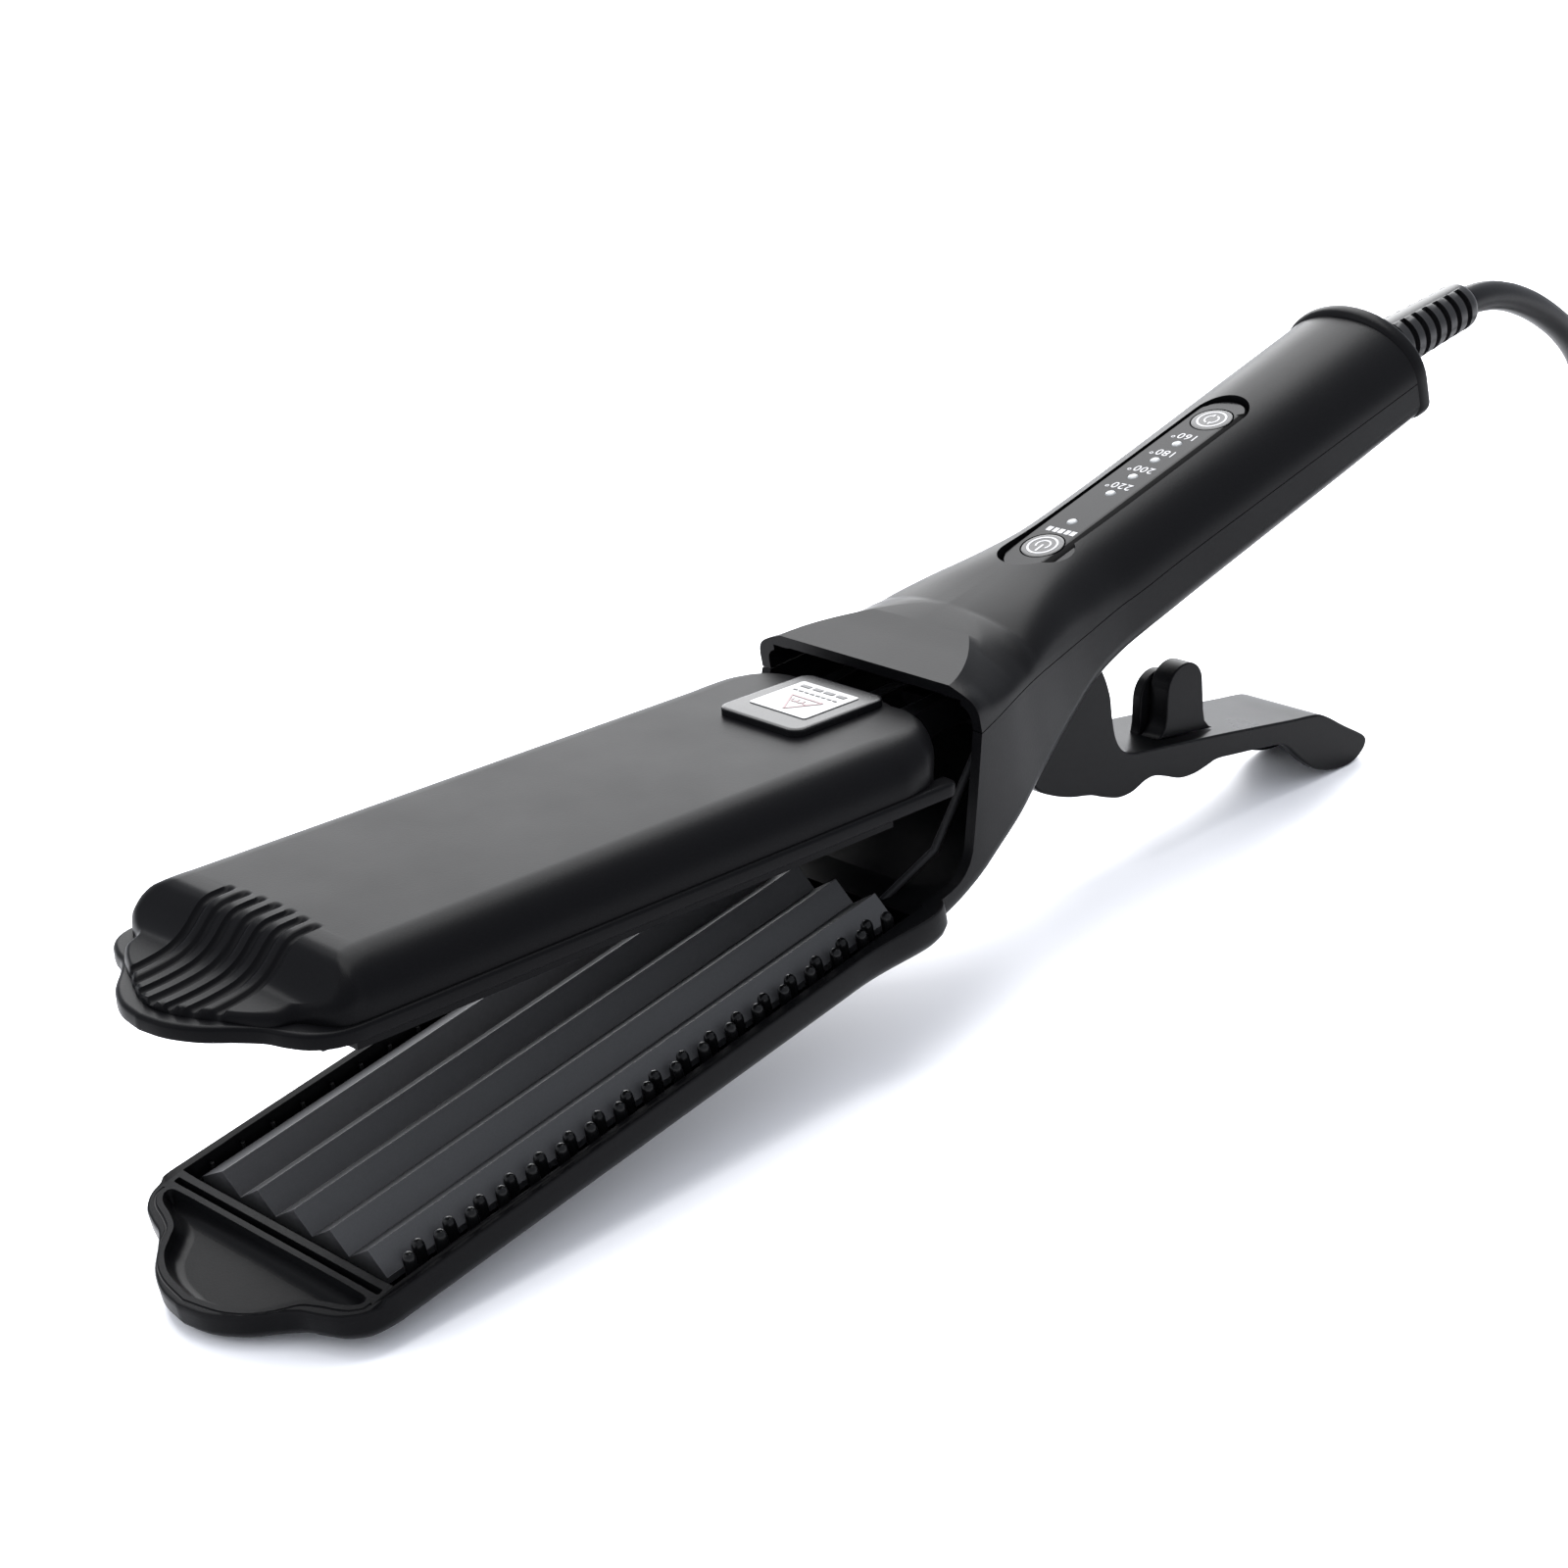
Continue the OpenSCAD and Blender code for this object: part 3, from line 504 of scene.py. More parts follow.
def lower_housing():
    top = table([(-170, -2.1), (-148.4, -2.1), (-147.2, -1.3), (-10, -1.3)])
    low = table([(-170, -8.3), (-150, -8.3), (-143, -10), (-10, -10)])
    deep = table([(-170, 3), (-150, 3), (-143, 6), (-10, 6)])
    floor_at = lambda t: (lambda x: -5.4 + (low(x)[0] + 5.4) * t)
    drawn = lambda t: (lambda x: deep(x)[0] * t)
    under = [(floor_at(t), drawn(g)) for t, g in ((1, 1), (0.97, 0.86), (0.86, 0.62), (0.6, 0.34),
                                                  (0.3, 0.12))]
    tray = stack("tray", mirrored(nose_out), under + [(-5.4, 0), (-3.2, 0), (lambda x: top(x)[0] - 0.5, 0.0),
                 (lambda x: top(x)[0] - 0.15, 0.18), (lambda x: top(x)[0], 0.6)])
    shell = rings("shell", [lower_ring(x, 0, 0, 0.2) for x in spans(-24, 149, 2.0)])
    house_low = combine(tray, [shell], "UNION")
    cuts = [block(-144.3, -21.5, -28, 28, -7.9, 12), block(-21.9, -13.8, -27.4, 27.4, -4.4, 12)]
    hollow = rings("hollow", [lower_ring(x, 2.2, 1.5) for x in spans(-14, 149, 2.5)])
    cuts.append(hollow)
    # the slanting side edges of the mouth, with a rounded foot
    side = [(-60, -1.3), (-15.5, -1.3), (-13, -1.0), (-11, -0.2), (-9.4, 1.0), (-8.2, 2.6), (-7.4, 4.4),
            (0, 22.6),
            (0, 40), (-60, 40)]
    cuts.append(prism(side, -40, 40))
    back = block(148.6, 175, -25, 25, -10, 60)
    back.data.transform(move(0, 0, 15.7) @ turn(-TILT) @ move(0.4, 0, -15.7))
    cuts.append(back)
    cuts.append(block(27, 64, -11.4, 11.4, -12, 17.5, 1.2))
    # the finger rest of the nose, a shallow dish behind a stepped rim
    dish = stack("dish", mirrored(nose_in), [(2, 0), (-2.15, 0), (-2.5, 0.25), (-3.2, 0.35), (-4.3, 0.9),
                                             (-4.9, 1.7),
                                           (-5.1, 2.7)])
    cuts.append(dish)
    lip = inset(mirrored(nose_in), -1.25)
    line = [(p.x, p.y, -1.98) for p in lip if p.x < -147.6]
    k = max(range(len(line)), key=lambda i: (Vector(line[i]) - Vector(line[i - 1])).length)
    line = line[k:] + line[:k]
    cuts.append(sweep("lip", line, 0.28, 8))
    cuts.append(block(-146.9, -145.7, -27.2, 27.2, -3.8, 4, 0.3))
    cuts += [drum((x, y, -12), "Z", 3.3, 2.5) for x in (-122, -46) for y in (-17, 17)]
    cuts += [drum((x, y, -12), "Z", 6, 1.3) for x in (-122, -46) for y in (-17, 17)]
    for y in (-9, 9):
        hole = drum((121, y, -14), "Z", 20, 2.9)
        hole.data.transform(move(0, 0, 15.7) @ turn(-TILT))
        cuts.append(hole)
    combine(house_low, cuts)
    bosses = [drum((PIN_X, s * 13.6 - 1.9, PIN_Z), "Y", 3.4, 4.6) for s in (-1, 1)]
    # a rib across the floor ahead of the lever's slot
    combine(house_low, bosses + [block(24.6, 26.2, -17.5, 17.5, 3.4, 7.6)], "UNION")
    combine(house_low, [drum((PIN_X, -15.2, PIN_Z), "Y", 30.4, 2.05)])
    return house_low


# ---------------------------------------------------------------- upper half of the handle
def tongue(x):
    """Half width of the flat facet over the mouth."""
    return 21.2 * max(0.0, 1 - (x / 23.3) ** 1.5) ** 0.7 if 0 <= x < 23.3 else 0.0


crease = table([(-1, 0.3), (0, 0.3), (5, 0.5), (12, 0.64), (18, 0.62), (22, 0.45), (26, 0.27), (31, 0.13),
                (37, 0.04), (44, 0), (150, 0)])


def upper_ring(x, t=0.0, drop=0.0):
    w, zp, zt, n, zb = house(x)
    f, w, h, m = max(0.3, tongue(x) - t), w - t, zt - t - zp, crease(x)[0]
    e = 1 + min(1, max(0, (x - 14) / 9))
    pts = [(x, w, zp - drop)]
    for k in range(37):
        a = math.radians(2.5 * k)
        c, s = max(0.0, math.cos(a)) ** (2 / n), math.sin(a) ** (2 / n)
        pts.append((x, f + (w - f) * c, zp + h * ((1 - m) * s + m * (1 - c ** e))))
    pts.append((x, 0, zt - t))
    return pts + [(x, -y, z) for _, y, z in reversed(pts[:-1])]


def upper_shell():
    xs = spans(0, 24, 0.6) + spans(24, 149, 2.0)[1:]
    outer = rings("upper", [upper_ring(x) for x in xs])
    inner = rings("inner", [upper_ring(x, 2.2, 1.5) for x in [-1] + xs])
    cuts = [inner, block(-1, 3, -23.4, 23.4, 20, 28.2)]
    back = block(148.6, 175, -25, 25, -10, 60)
    back.data.transform(move(0, 0, 15.7) @ turn(-TILT) @ move(0.4, 0, -15.7))
    cuts.append(back)
    combine(outer, cuts)
    return outer


def pill(length, width, x=0.0, seg=24):
    """A stadium outline, long along X."""
    r = width / 2
    out = []
    for side in (1, -1):
        for k in range(seg + 1):
            a = math.radians(-90 + 180 * k / seg) if side == 1 else math.radians(90 + 180 * k / seg)
            out.append(Vector((x + side * (length / 2 - r) + r * math.cos(a), r * math.sin(a))))
    return out


def rounded(x, y, r, cx=0.0, cy=0.0, seg=8):
    out = []
    for q, (sx, sy) in enumerate(((1, 1), (-1, 1), (-1, -1), (1, -1))):
        for k in range(seg + 1):
            a = math.radians(90 * q + 90 * k / seg)
            out.append(Vector((cx + sx * (x / 2 - r) + r * math.cos(a),
                               cy + sy * (y / 2 - r) + r * math.sin(a))))
    return out


def end_cap():
    rows = []
    for x, w, g in ((146.4, 13.9, -2.6), (148.95, 13.9, -2.6), (148.95, 16.6, 0.0), (149.2, 16.9, 0.45),
                    (149.7, 17.1, 1.1), (150.4, 17.2, 1.4), (151.6, 17.2, 1.4), (152.3, 17.0, 1.15),
                    (152.7, 16.5, 0.6),
                    (152.85, 15.6, -0.3)):
        ring = [(x, w * math.cos(math.radians(a)),
                 (12.2 + g) * math.sin(math.radians(a))) for a in range(0, 181, 6)]
        low = min(8.7, 8.7 + min(g, 0) * 1.0) - (0.9 if x > 152.8 else 0.3 if x > 152.5 else 0)
        r = 3.5
        lower = []
        for side in (-1, 1):
            arc = [(side * (w - r + r * math.cos(math.radians(a))),
                    -(low - r + r * math.sin(math.radians(a))))
                   for a in range(10, 91, 10)]
            lower += arc if side == -1 else list(reversed(arc))
        rows.append(ring + [(x, y, z) for y, z in lower])
    cap = rings("cap", rows)
    hole = drum((0, 0, -8), "Z", 20, 4.35)
    hole.data.transform(HANDLE.inverted() @ RELIEF)
    return combine(cap, [hole])


def strain_relief():
    body = lathe([(0.01, -3), (4.3, -3), (4.3, 4.6), (5.7, 4.9), (5.75, 6.2), (5.5, 20), (5.2, 33),
                  (5.15, 38.6),
                  (4.9, 39.5), (4.3, 40), (3.3, 40), (0.01, 40)], 48)
    slots = []
    for k in range(8):
        z = 7.6 + 3.95 * k
        slots.append(combine(drum((0, 0, z), "Z", 1.75, 8), [drum((0, 0, z - 1), "Z", 4, 3.9 - 0.06 * k)]))
    tool = join("slots", slots)
    combine(tool, [block(-9, 9, -1.7, 1.7, 0, 60)])
    combine(body, [tool])
    return bevel(body, 0.22, 2, 40)


def panel():
    # a flat glossy face with sloping long edges
    outline = pill(70.6, 11.4, STRIP_MID)
    rows = []
    for z, g in ((9.4, 1.2), (10.0, 1.2), (10.05, 0.0), (10.35, 0.0), (10.55, 0.12)):
        rows.append([(q.x, q.y, z) for q in inset(outline, g)])
    for t, z in ((0.35, 10.85), (0.75, 11.12), (0.92, 11.2), (1.0, 11.22)):
        q = inset(outline,
                  [t * (2.1 if p.y < -2 else 0.45) if abs(p.x - STRIP_MID) < 31.5 else t * 0.7
                   for p in outline])
        rows.append([(v.x, v.y, z) for v in q])
    face = rings("panel", rows)
    cuts = [drum((x, 0, 8), "Z", 6, 4.45, seg=64) for x in (POWER_X, TEMPERATURE_X)]
    cuts += [drum((x, 0.5, 8), "Z", 6, 1.15, seg=24) for x in LIGHTS_X]
    return combine(face, cuts)


def button(x):
    o = lathe([(0.01, 7.4), (4.2, 7.4), (4.2, 11.05), (4.15, 11.2), (4.0, 11.27), (3.6, 11.3), (1.5, 11.3),
               (0.01, 11.3)], 64)
    combine(o, [drum((0, 0, 6.9), "Z", 0.7, 2)], "UNION")
    o.data.transform(move(x, 0, 0))
    return o


def lens(x):
    o = lathe([(0.01, 5.9), (1.1, 5.9), (1.1, 11.15), (0.95, 11.32), (0.5, 11.42), (0.01, 11.44)], 24)
    o.data.transform(move(x, 0.5, 0))
    return o


def arc_mark(cx, cy, r, w, a0, a1, z, h=0.05, n=40):
    """A printed arc, as a thin closed band."""
    rows = []
    for k in range(n + 1):
        a = math.radians(a0 + (a1 - a0) * k / n)
        c, s = math.cos(a), math.sin(a)
        rows.append([(cx + (r - w / 2) * c, cy + (r - w / 2) * s, z),
                     (cx + (r + w / 2) * c, cy + (r + w / 2) * s, z),
                     (cx + (r + w / 2) * c, cy + (r + w / 2) * s, z + h),
                     (cx + (r - w / 2) * c, cy + (r - w / 2) * s, z + h)])
    if abs(a1 - a0) >= 360:
        return rings("arc", rows[:-1] + [rows[0]], (False, False))
    return rings("arc", rows)


def figures(text, size):
    """Plain numbers as a thin solid, reading along +X, centred."""
    c = bpy.data.curves.new("figures", "FONT")
    c.body, c.size, c.extrude, c.align_x, c.align_y = text, size, 0.03, "CENTER", "CENTER"
    c.resolution_u, c.space_character, c.offset = 3, 1.08, 0.02
    o = bpy.data.objects.new("figures", c)
    scene.collection.objects.link(o)
    me = bpy.data.meshes.new_from_object(o.evaluated_get(bpy.context.evaluated_depsgraph_get()))
    bpy.data.objects.remove(o)
    o = bpy.data.objects.new("figures", me)
    scene.collection.objects.link(o)
    return o


def panel_marks():
    out = []
    spin = Matrix(((0, -1, 0, 0), (1, 0, 0, 0), (0, 0, 1, 0), (0, 0, 0, 1)))
    for x, t in zip(LIGHTS_X[1:], ("220\u00b0", "200\u00b0", "180\u00b0", "160\u00b0")):
        o = figures(t, 3.0)
        o.data.transform(move(x + 3.1, 0.7, 11.23) @ spin)
        out.append(o)
    for k in range(5):
        out.append(block(56.5, 58.0, -3.4 + 1.45 * k, -3.4 + 1.45 * k + (1.0 if k % 2 else 1.15), 11.2,
                         11.26))
    return join("marks", out)


def power_mark():
    z = 11.29
    return join("mark", [arc_mark(0, 0, 2.9, 0.45, 0, 360, z), arc_mark(0.2, 0, 1.45, 0.4, -130, 130, z),
                         block(-2.2, 0.2, -0.24, 0.24, z, z + 0.05)])


def temperature_mark():
    z = 11.29
    parts = [arc_mark(0, 0, 2.9, 0.45, 0, 360, z), arc_mark(0, 0, 1.45, 0.38, 25, 165, z),
             arc_mark(0, 0, 1.45, 0.38, 205, 345, z)]
    parts += [block(1.0, 1.9, 0.15, 0.6, z, z + 0.05), block(-1.9, -1.0, -0.6, -0.15, z, z + 0.05)]
    return join("mark", parts)


# ---------------------------------------------------------------- lever
lever_side = curve2d([(37, 14), (35, 5), (33.2, -4), (32.8, -9.2), (34.4, -12), (39, -14.4), (44, -16.2),
                      (50, -17.6),
                      (54, -19.2), (58.5, -20.6), (62.5, -20.6), (66.5, -19.4), (69.5, -19.3), (73, -20.4),
                      (77.5, -22.1), (82, -22.5), (86, -22), (89.5, -21.5), (96, -22.3), (104, -23.4),
                      (110.4, -24.5), (113.4, -26.2), (118.6, -30.6), (123, -33.5), (128, -35.3), (133, -36),
                      (137, -35.6), (140, -33.9), (140.9, -32), (139.6, -30.4), (133, -26.6), (127.4, -23.2),
                      (124, -21.6), (120.6, -20.9), (114, -20), (90, -16.3), (68, -13.2), (62, -12.2),
                      (59.2, -10.6),
                      (57.2, -7.4), (56.2, -3), (55.4, 2), (52.6, 8), (47, 14), (42, 15), (37, 14)], 0.9)[:-1]


def squeeze_lever():
    solid = prism([(p.x, p.y) for p in lever_side], -10.2, 10.2)
    bevel(solid, 0.9, 4, 60)
    room = curve2d([(41, 6), (37.2, 0), (35.4, -6), (36, -10.4), (40, -12.6), (44, -40), (128, -60),
                    (137.4, -33.6),
                    (137.2, -31.4), (132, -28.4), (127, -26), (122.6, -24), (118, -23), (90, -18.6),
                    (66, -15),
                    (59.6, -13.2), (56.2, -9.6), (54, -3), (51, 4), (41, 6)], 1.5)[:-1]
    combine(solid, [prism([(p.x, p.y) for p in room], -8.2, 8.2)])
    combine(solid, [drum((PIN_X, -10.2, PIN_Z), "Y", 20.4, 6)], "UNION")
    combine(solid, [drum((PIN_X, -14, PIN_Z), "Y", 28, 2.05)])
    return solid


def finger_tab(y0, y1):
    """A rounded tab that flares into the lever at its foot."""
    out = []
    for x, z in ((76.2, -14.15), (77.4, -13.6), (78.5, -12.3), (79.0, -10.2), (79.1, -7), (79.3, -4.6)):
        out.append(Vector((x, z)))
    for a in range(170, -1, -10):
        out.append(Vector((84.8 + 5.5 * math.cos(math.radians(a)), -5.2 + 5.0 * math.sin(math.radians(a)))))
    for x, z in ((90.5, -8), (90.7, -11.5), (91.2, -14), (92.6, -15.6), (94, -16.4)):
        out.append(Vector((x, z)))
    o = prism([(p.x, p.y) for p in out], y0, y1)
    return bevel(o, 0.85, 4, 50)


# ---------------------------------------------------------------- small parts
def label_pad():
    outline = rounded(23.2, 20.4, 2.6, -18, 0)
    return stack("pad", outline, [(16.4, 0), (17.9, 0), (18.2, 0.12), (18.36, 0.4), (18.4, 0.8)])


def label_film():
    return stack("film", rounded(14, 14, 0.6, -17.4, 0), [(18.38, 0), (18.56, 0), (18.58, 0.08)])


def label_marks():
    dark = [block(-12.9, -11.9, -5.4 + 2.9 * k, -3.4 + 2.9 * k + 0.2 * (k % 2), 18.6,
                  18.68) for k in range(4)]
    dark += [block(-14.9, -14.5, -5.4 + 1.4 * k, -4.5 + 1.4 * k, 18.6, 18.68) for k in range(8)]
    tri = [Vector(v) for v in ((-17, -4.2), (-17, 3.4), (-23, -0.4))]
    rose = []
    for i in range(3):
        a, b = tri[i], tri[(i + 1) % 3]
        d = (b - a).normalized() * 0.2
        n = Vector((-d.y, d.x))
        ring = [[(v.x + s * n.x, v.y + s * n.y, z) for s, z in ((-1, 18.6), (1, 18.6), (1, 18.68),
                                                                (-1, 18.68))]
                for v in (a, b)]
        rose.append(rings("side", ring))
    for k in range(3):
        rose.append(arc_mark(-18.6, -1.9 + 1.4 * k, 0.8, 0.22, 60, 250, 18.6, 0.08, 12))
    return join("dark", dark), join("rose", rose)


def comb_post(x, y, top, r=1.12):
    o = lathe([(0.01, -7.4), (r * 1.12, -7.4), (r * 1.06, -5), (r, top - 1.3), (r * 0.93, top - 0.8),
               (r * 0.7, top - 0.3), (r * 0.35, top - 0.05), (0.01, top)], 20)
    o.data.transform(move(x, y, 0))
    return o


def comb_near():
    parts = [block(-142.5, -24, -27.8, -22.9, -7.9, -6.7)]
    parts += [comb_post(-139.1 + 6.5 * k, -25.9, 0.7) for k in range(18)]
    parts += [comb_post(-135.85 + 6.5 * k, -24.1, 0.3) for k in range(17)]
    return join("comb", parts)


def ridged(rises, back, x0, x1, lift, y0, y1):
    """The ridged plate: steep near faces and long far faces, with sharp crests that the bevel applied where
    it is placed softens.
    """
    pts = []
    crest = [19.64 - 9.66 * k for k in range(5)]
    pts.append(Vector((y1, lift - 4 * (y1 - 19.64) / 7.36)))
    for k, y in enumerate(crest):
        if y < y1:
            pts.append(Vector((y, lift)))
        if y0 < y - 3.43 < y1:
            pts.append(Vector((y - 3.43, -4 + lift)))
    last = pts[-1]
    pts.append(Vector((y0, last.y + (last.x - y0) * 4 / 6.23 * (1 if last.y < lift - 1 else -0.3))))
    pts += [Vector((y0, back)), Vector((y1, back))]
    n = len(pts)
    o = new("plate", [(x, p.x, p.y) for x in (x0, x1) for p in pts],
            [tuple(range(n)), tuple(range(2 * n - 1, n - 1, -1))]
            + [(i, n + i, n + (i + 1) % n, (i + 1) % n) for i in range(n)])
    return o


def plug():
    """Face plate, waisted grip and rear collar, then the raised dots of the grip as a second piece."""
    plate = stack("face", rounded(26, 20, 4), [(-59, 0.5), (-58.7, 0.15), (-58.3, 0), (-54, 0), (-53.4, 0.15),
                                               (-53, 0.6)])
    grip = table([(-53.3, 11.6, 9.3), (-49, 10.4, 8.9), (-43, 9.1, 8.2), (-37, 8.2, 7.5), (-31, 7.9, 7.1)])

    def section(z, g=0.0):
        w, h = grip(z)
        return [((w - g) * math.copysign(abs(math.cos(a)) ** 0.5, math.cos(a)),
                 (h - g) * math.copysign(abs(math.sin(a)) ** 0.5, math.sin(a)), z)
                for a in (math.radians(5 * k) for k in range(72))]
    body = rings("grip", [section(z) for z in spans(-53.3, -31, 1.2)])
    collar = stack("collar", rounded(21, 17, 3.5), [(-31.2, 0.5), (-30.9, 0.1), (-30.5, 0), (-26.8, 0),
                                                    (-26.3, 0.15),
                                                    (-26, 0.6)])
    o = combine(plate, [body, collar], "UNION")
    dots = []
    for side in (1, -1):
        for i in range(11):
            z = -49.6 + 1.5 * i
            w, h = grip(z)
            for j in range(-3, 4):
                x = 1.55 * j + (0.75 if i % 2 else 0)
                if abs(x) < 5.6 - 0.13 * i:
                    y = h * (1 - (abs(x) / w) ** 4) ** 0.25
                    d = lathe([(0.01, -0.3), (0.5, -0.3), (0.5, 0.05), (0.35, 0.25), (0.01, 0.33)], 10)
                    d.data.transform(move(x, side * y, z) @ Matrix.Rotation(math.radians(-90 * side), 4, "X"))
                    dots.append(d)
        frame_line = [(-5.9, -51), (5.9, -51), (4.6, -33), (-4.6, -33)]
        for k in range(4):
            (xa, za), (xb, zb) = frame_line[k], frame_line[(k + 1) % 4]
            line = []
            for t in spans(0, 1, 0.1):
                x, z = xa + (xb - xa) * t, za + (zb - za) * t
                w, h = grip(z)
                line.append((x, side * (h * (1 - (abs(x) / w) ** 4) ** 0.25 - 0.1), z))
            dots.append(sweep("line", line, 0.3, 8))
    return o, join("dots", dots)


def blade(y):
    outline = [Vector((-74.9 + 15.8 * (k > 1), (-3.2, 3.2, 3.2, -3.2)[k])) for k in range(4)]
    o = stack("blade", outline, [(-0.75, 0), (0.75, 0)])
    bevel(o, 0.3, 2, 40)
    combine(o, [drum((-71.4, 0, -3), "Z", 6, 1.6, seg=32)])
    o.data.transform(move(0, y, 0) @ Matrix.Rotation(math.radians(90), 4, "X"))
    return o


def plug_relief():
    rows = [(0.01, -25.9), (4.9, -25.9)]
    for k in range(6):
        z, r = -24.6 + 4 * k, 6.3 - 0.2 * k
        rows += [(4.8 - 0.18 * k, z - 0.1), (r - 0.2, z), (r, z + 0.25), (r - 0.05, z + 2.1),
                 (r - 0.3, z + 2.4),
                 (4.7 - 0.18 * k, z + 2.5)]
    rows += [(3.7, -0.4), (3.4, -0.1), (0.01, -0.1)]
    return lathe(rows, 40)


def cord_line():
    """Down from the handle to the table, five and a half turns in two layers, and out to the plug."""
    lead = [(175.8, 0, 86.7), (178.7, 0, 87), (183.2, 0, 86.8), (188.6, 0, 85.9), (195.4, 0, 83.8),
            (203, 0, 80.4), (210.2, 0, 76.2), (217, 0, 71.3), (223.4, 0.6, 65.7), (229.6, 2.3, 59.4),
            (235.4, 4.7, 52.6), (240.8, 7.4, 45.7), (246.2, 10.5, 38.8), (251.8, 13.8, 32.2),
            (257.8, 17.5, 26.2),
            (264.2, 21.2, 21), (271, 24.7, 16.7), (278, 27.6, 13.4), (284, 29.1, 11.6), (289.6, 29.7, 10.5)]
    tail = [(289, -69.7, 3.4), (285, -69.7, 3.4), (277, -69.1, 3.4), (269, -67.6, 3.9), (261, -65.5, 5),
            (253, -63.2, 7), (245, -61.1, 9), (238.5, -60.1, 9.9), (232, -60, 10)]
    slots = [(49.7, 10.1), (43, 10.1), (36.3, 10.1), (36.3, 3.4), (43, 3.4), (49.7, 3.4)]
    when = [(280, 335), (278, 333), (224, 278), (184, 234), (182, 232)]

    def ease(t):
        t = min(1, max(0, t))
        return t * t * (3 - 2 * t)
    turns = []
    for k, (r, z) in enumerate(slots):
        for d in range(0, 360 if k < 5 else 181, 9):
            t = ease((d - when[k][0]) / (when[k][1] - when[k][0])) if k < 5 else 0
            r2, z2 = slots[k + 1] if k < 5 else (r, z)
            rr, zz, a = r + (r2 - r) * t, z + (z2 - z) * t, math.radians(90 - d)
            turns.append((295 + rr * math.cos(a), -20 + rr * math.sin(a), zz))
    return [Vector(p) for p in lead + turns + tail]


def cord_curve():
    c = bpy.data.curves.new("mains_cord", "CURVE")
    c.dimensions = "3D"
    pts = cord_line()
    s = c.splines.new("BEZIER")
    s.bezier_points.add(len(pts) - 1)
    for i, (p, v) in enumerate(zip(s.bezier_points, pts)):
        a, b = pts[max(i - 1, 0)], pts[min(i + 1, len(pts) - 1)]
        t = (b - a).normalized()
        p.co = v * 0.001
        p.handle_left = (v - t * (v - a).length / 3) * 0.001
        p.handle_right = (v + t * (b - v).length / 3) * 0.001
    c.bevel_depth, c.bevel_resolution, c.resolution_u, c.use_fill_caps = 0.00325, 5, 4, True
    o = bpy.data.objects.new("mains_cord", c)
    scene.collection.objects.link(o)
    c.materials.append(M["cord_black"])
    return o


def coil_strap():
    path = rounded(22.2, 14.7, 4.2)
    rows = []
    for p, q in zip(inset(path, -0.65), inset(path, 0.65)):
        rows.append([(p.x, -3, p.y), (p.x, 3, p.y), (q.x, 3, q.y), (q.x, -3, q.y)])
    o = rings("strap", rows + [rows[0]], (False, False))
    o.data.transform(move(295, -20, 0) @ Matrix.Rotation(math.radians(-20), 4, "Z") @ move(43, 0, 7.75))
    return o


# ---------------------------------------------------------------- assembly
place(upper_cover(), MOVING, UPPER, "cover_black", "cover", ["upper_cover"], 42)
place(lower_housing(), JAW, LOWER, "housing_black", "housing_lower", ["lower_housing"], 42)

shell = upper_shell()
recess = stack("recess", pill(71.4, 12.1, STRIP_MID), [(9.4, 0), (11.6, 0), (11.9, -0.05), (18, -0.4)])
dish = drum((49.6, -4.4, 10.95), "Z", 5, 3.6, 4.6, seg=48)
dish.data.transform(move(49.6, 0, 0) @ Matrix.Scale(1.25, 4, (1, 0, 0)) @ move(-49.6, 0, 0))
combine(recess, [dish], "UNION")
recess.data.transform(JAW.inverted() @ HANDLE)
combine(shell, [recess])
place(shell, JAW, LOWER, "housing_black", "housing_upper", ["upper_shell"], 20)

place(end_cap(), HANDLE, LOWER, "housing_black", "rear_cap", ["end_cap"])
place(strain_relief(), RELIEF, LOWER, "plug_black", "cord_guard", ["strain_relief"])
strip = place(panel(), HANDLE, LOWER, "panel_gloss", "control_strip", ["panel"])
# the near-facing faces of the strip's bevel get a near-black material: painted shade on the near long edge,
# darker than the strip's own finish
strip.data.materials.append(M["strip_painted_shade"])
for p in strip.data.polygons:
    if p.normal.y < -0.25:
        p.material_index = 1
place(panel_marks(), HANDLE, LOWER, "ink_white", "strip_marks")
for x, body, mark in ((POWER_X, "power_button", power_mark()),
                      (TEMPERATURE_X, "temperature_button", temperature_mark())):
    place(button(x), HANDLE, body, "button_black", body + "_cap", [body])
    mark.data.transform(move(x, 0, 0))
    place(mark, HANDLE, body, "ink_white", body + "_mark")
place(join("lights", [lens(x) for x in LIGHTS_X]), HANDLE, LOWER, "led_clear", "lights",
      ["led_row"])

place(squeeze_lever(), MOVING, UPPER, "lever_black", "lever", ["squeeze_lever"])
near_tab, rear_tab = finger_tab(-6.4, -1.7), finger_tab(-1.3, 1.0)
near_tab.data.transform(move(-1.4, 0, 0))
rear_tab.data.transform(move(-3.6, 0, -1.9))
place(join("tabs", [near_tab, rear_tab]), MOVING, UPPER, "lever_black", "tabs",
      ["finger_tabs"])
place(label_pad(), MOVING, UPPER, "pad_black", "pad", ["label_pad"])
place(label_film(), MOVING, UPPER, "label_white", "film", ["label"])
dark, rose = label_marks()
place(dark, MOVING, UPPER, "ink_grey", "film_bars")
place(rose, MOVING, UPPER, "ink_red", "film_sign")

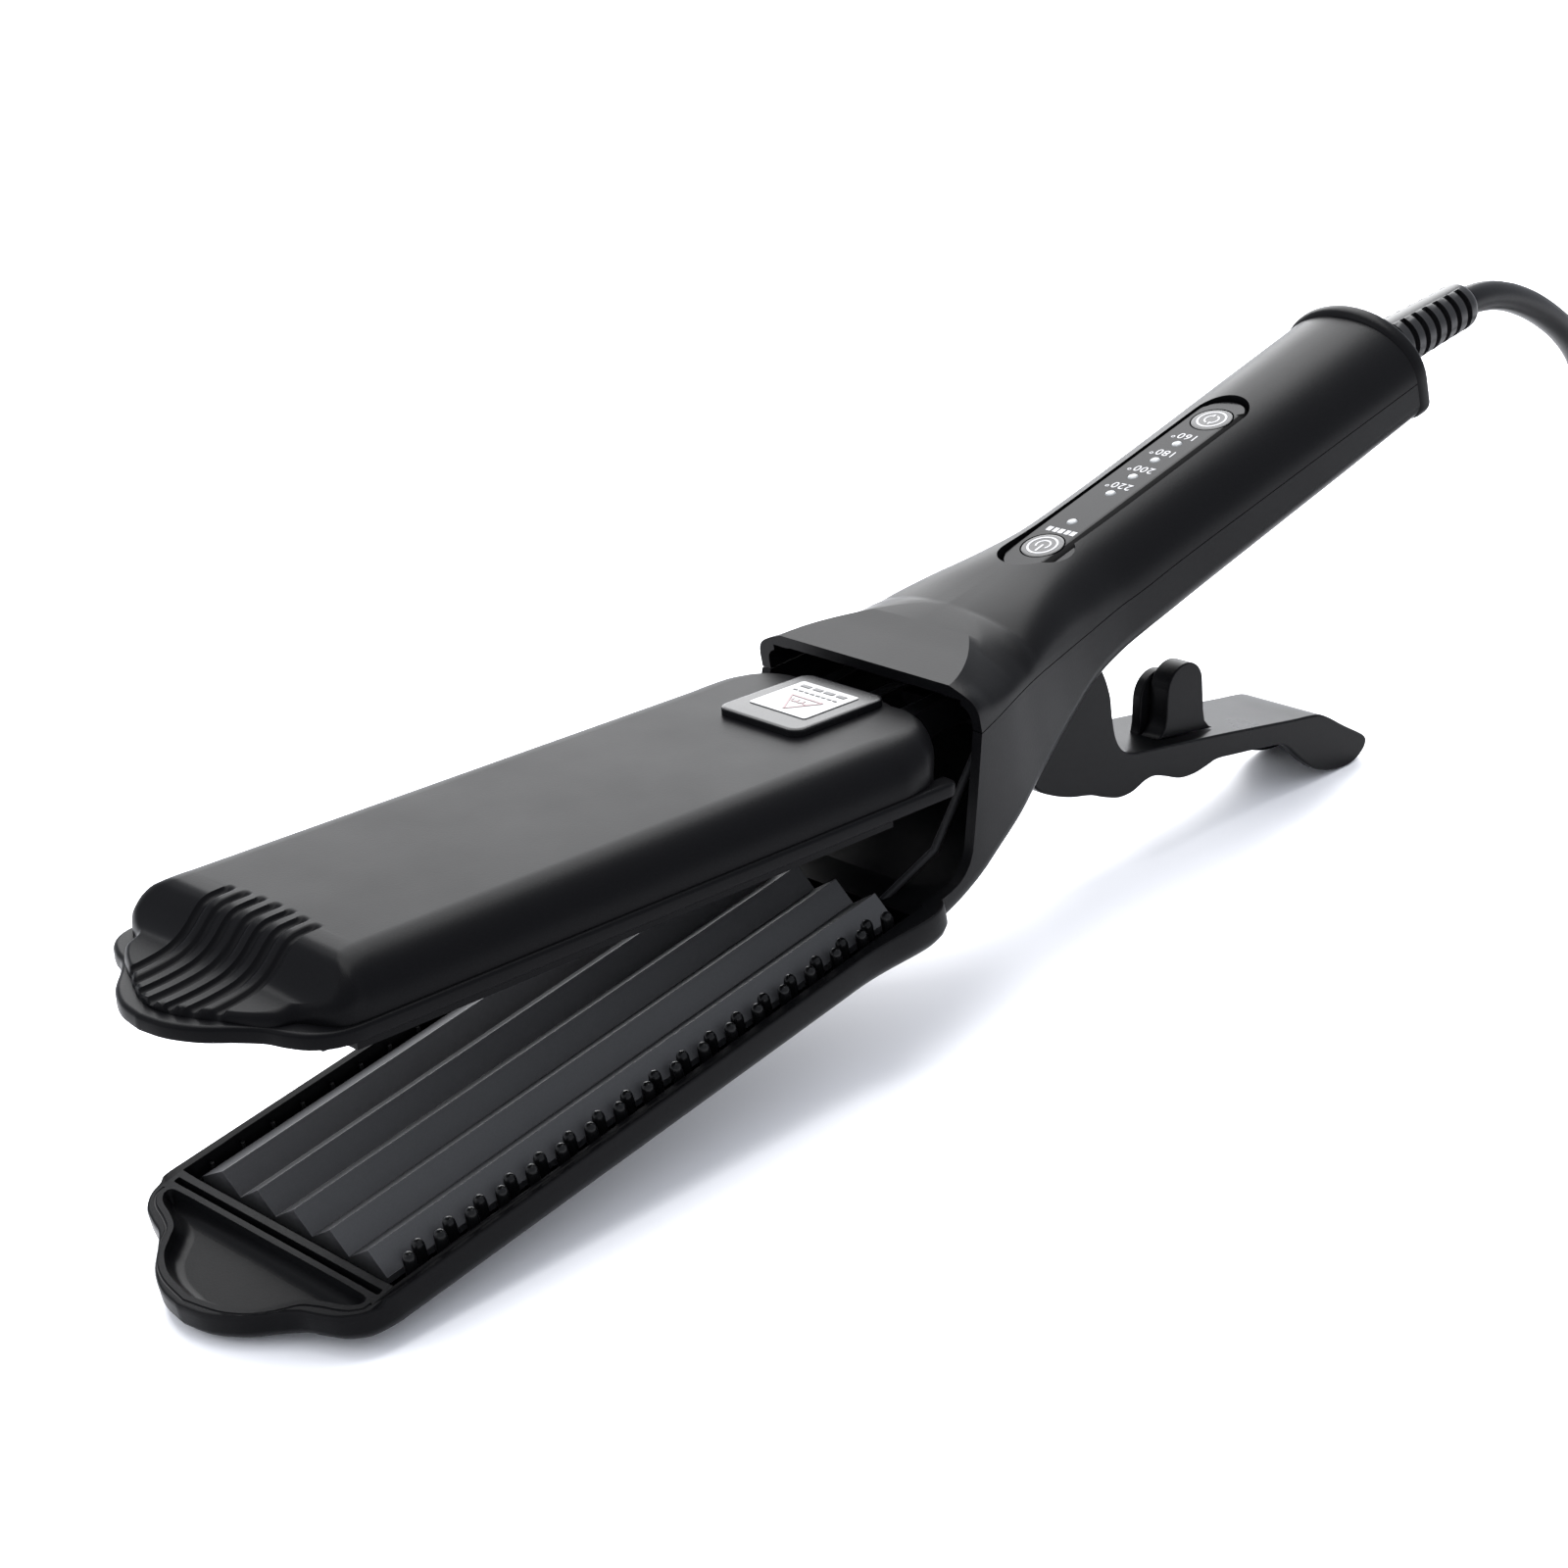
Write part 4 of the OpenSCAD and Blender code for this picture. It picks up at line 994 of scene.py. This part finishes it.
place(comb_near(), JAW, LOWER, "comb_black", "comb", ["comb_near"])
low_plate = ridged(0, -5.2, -141.8, -24, 0, -22.6, 27)
place(bevel(low_plate, 0.35, 3, 30), JAW, LOWER, "plate_ceramic", "plate_lower", ["lower_plate"], 30)
high_plate = ridged(0.8, 4.6, -136.4, -24.4, 0.8, -22, 22)
place(bevel(high_plate, 0.35, 3, 30), MOVING, UPPER, "plate_ceramic", "plate_upper", ["upper_plate"], 30)

cord = cord_curve()
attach(cord, LOWER)
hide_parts("cord", "cord_coil")
PLUG = TABLE @ move(*PLUG_AT) @ Matrix(((0, 0, 1, 0), (1, 0, 0, 0), (0, 1, 0, 0), (0, 0, 0, 1)))
body, dots = plug()
body = place(body, PLUG, LOWER, "plug_black", "plug_grip", ["plug_body"])
dots = place(dots, PLUG, LOWER, "plug_black", "plug_dots")
tines = place(join("blades", [blade(s * 6.35) for s in (-1, 1)]), TABLE @ move(*PLUG_AT), LOWER,
              "blade_nickel",
              "blades", ["plug_blades"])
guard = place(plug_relief(), PLUG, LOWER, "plug_black", "plug_guard", ["plug_relief"])
strap = place(coil_strap(), TABLE, LOWER, "tie_black", "strap", ["coil_tie"])

# the plain inner parts keep their own shapes and get their finish; those listed in SOFTEN get softened edges
SOFTEN = {"jaw_arm": 0.5, "comb_far": 0.15, "circuit_board": 0.2, "cord_clamp": 0.5, "lower_heater": 0.2,
          "upper_heater": 0.2, "shell_screws": 0.15, "plate_screws": 0.15, "jaw_screws": 0.15,
          "lever_screws": 0.15}
for name in ("jaw_arm", "comb_far", "circuit_board", "inner_lead", "cord_clamp", "shell_screws",
             "lower_heater",
             "lower_insulator", "thermal_fuse", "lower_leads", "plate_screws", "pivot_pin", "torsion_spring",
             "upper_heater", "upper_insulator", "upper_leads", "jaw_screws", "lever_screws"):
    o = frame["nodes"][name]
    o.data.materials.clear()
    o.data.materials.append(M[SLOTS[name]])
    weld = o.modifiers.new("weld", "WELD")
    weld.merge_threshold = 0.00001
    if name in SOFTEN:
        soft = o.modifiers.new("soft", "BEVEL")
        soft.width, soft.segments, soft.limit_method, soft.angle_limit = SOFTEN[name] / 1000, 2, "ANGLE", 0.7
    o.modifiers.new("normals", "WEIGHTED_NORMAL")
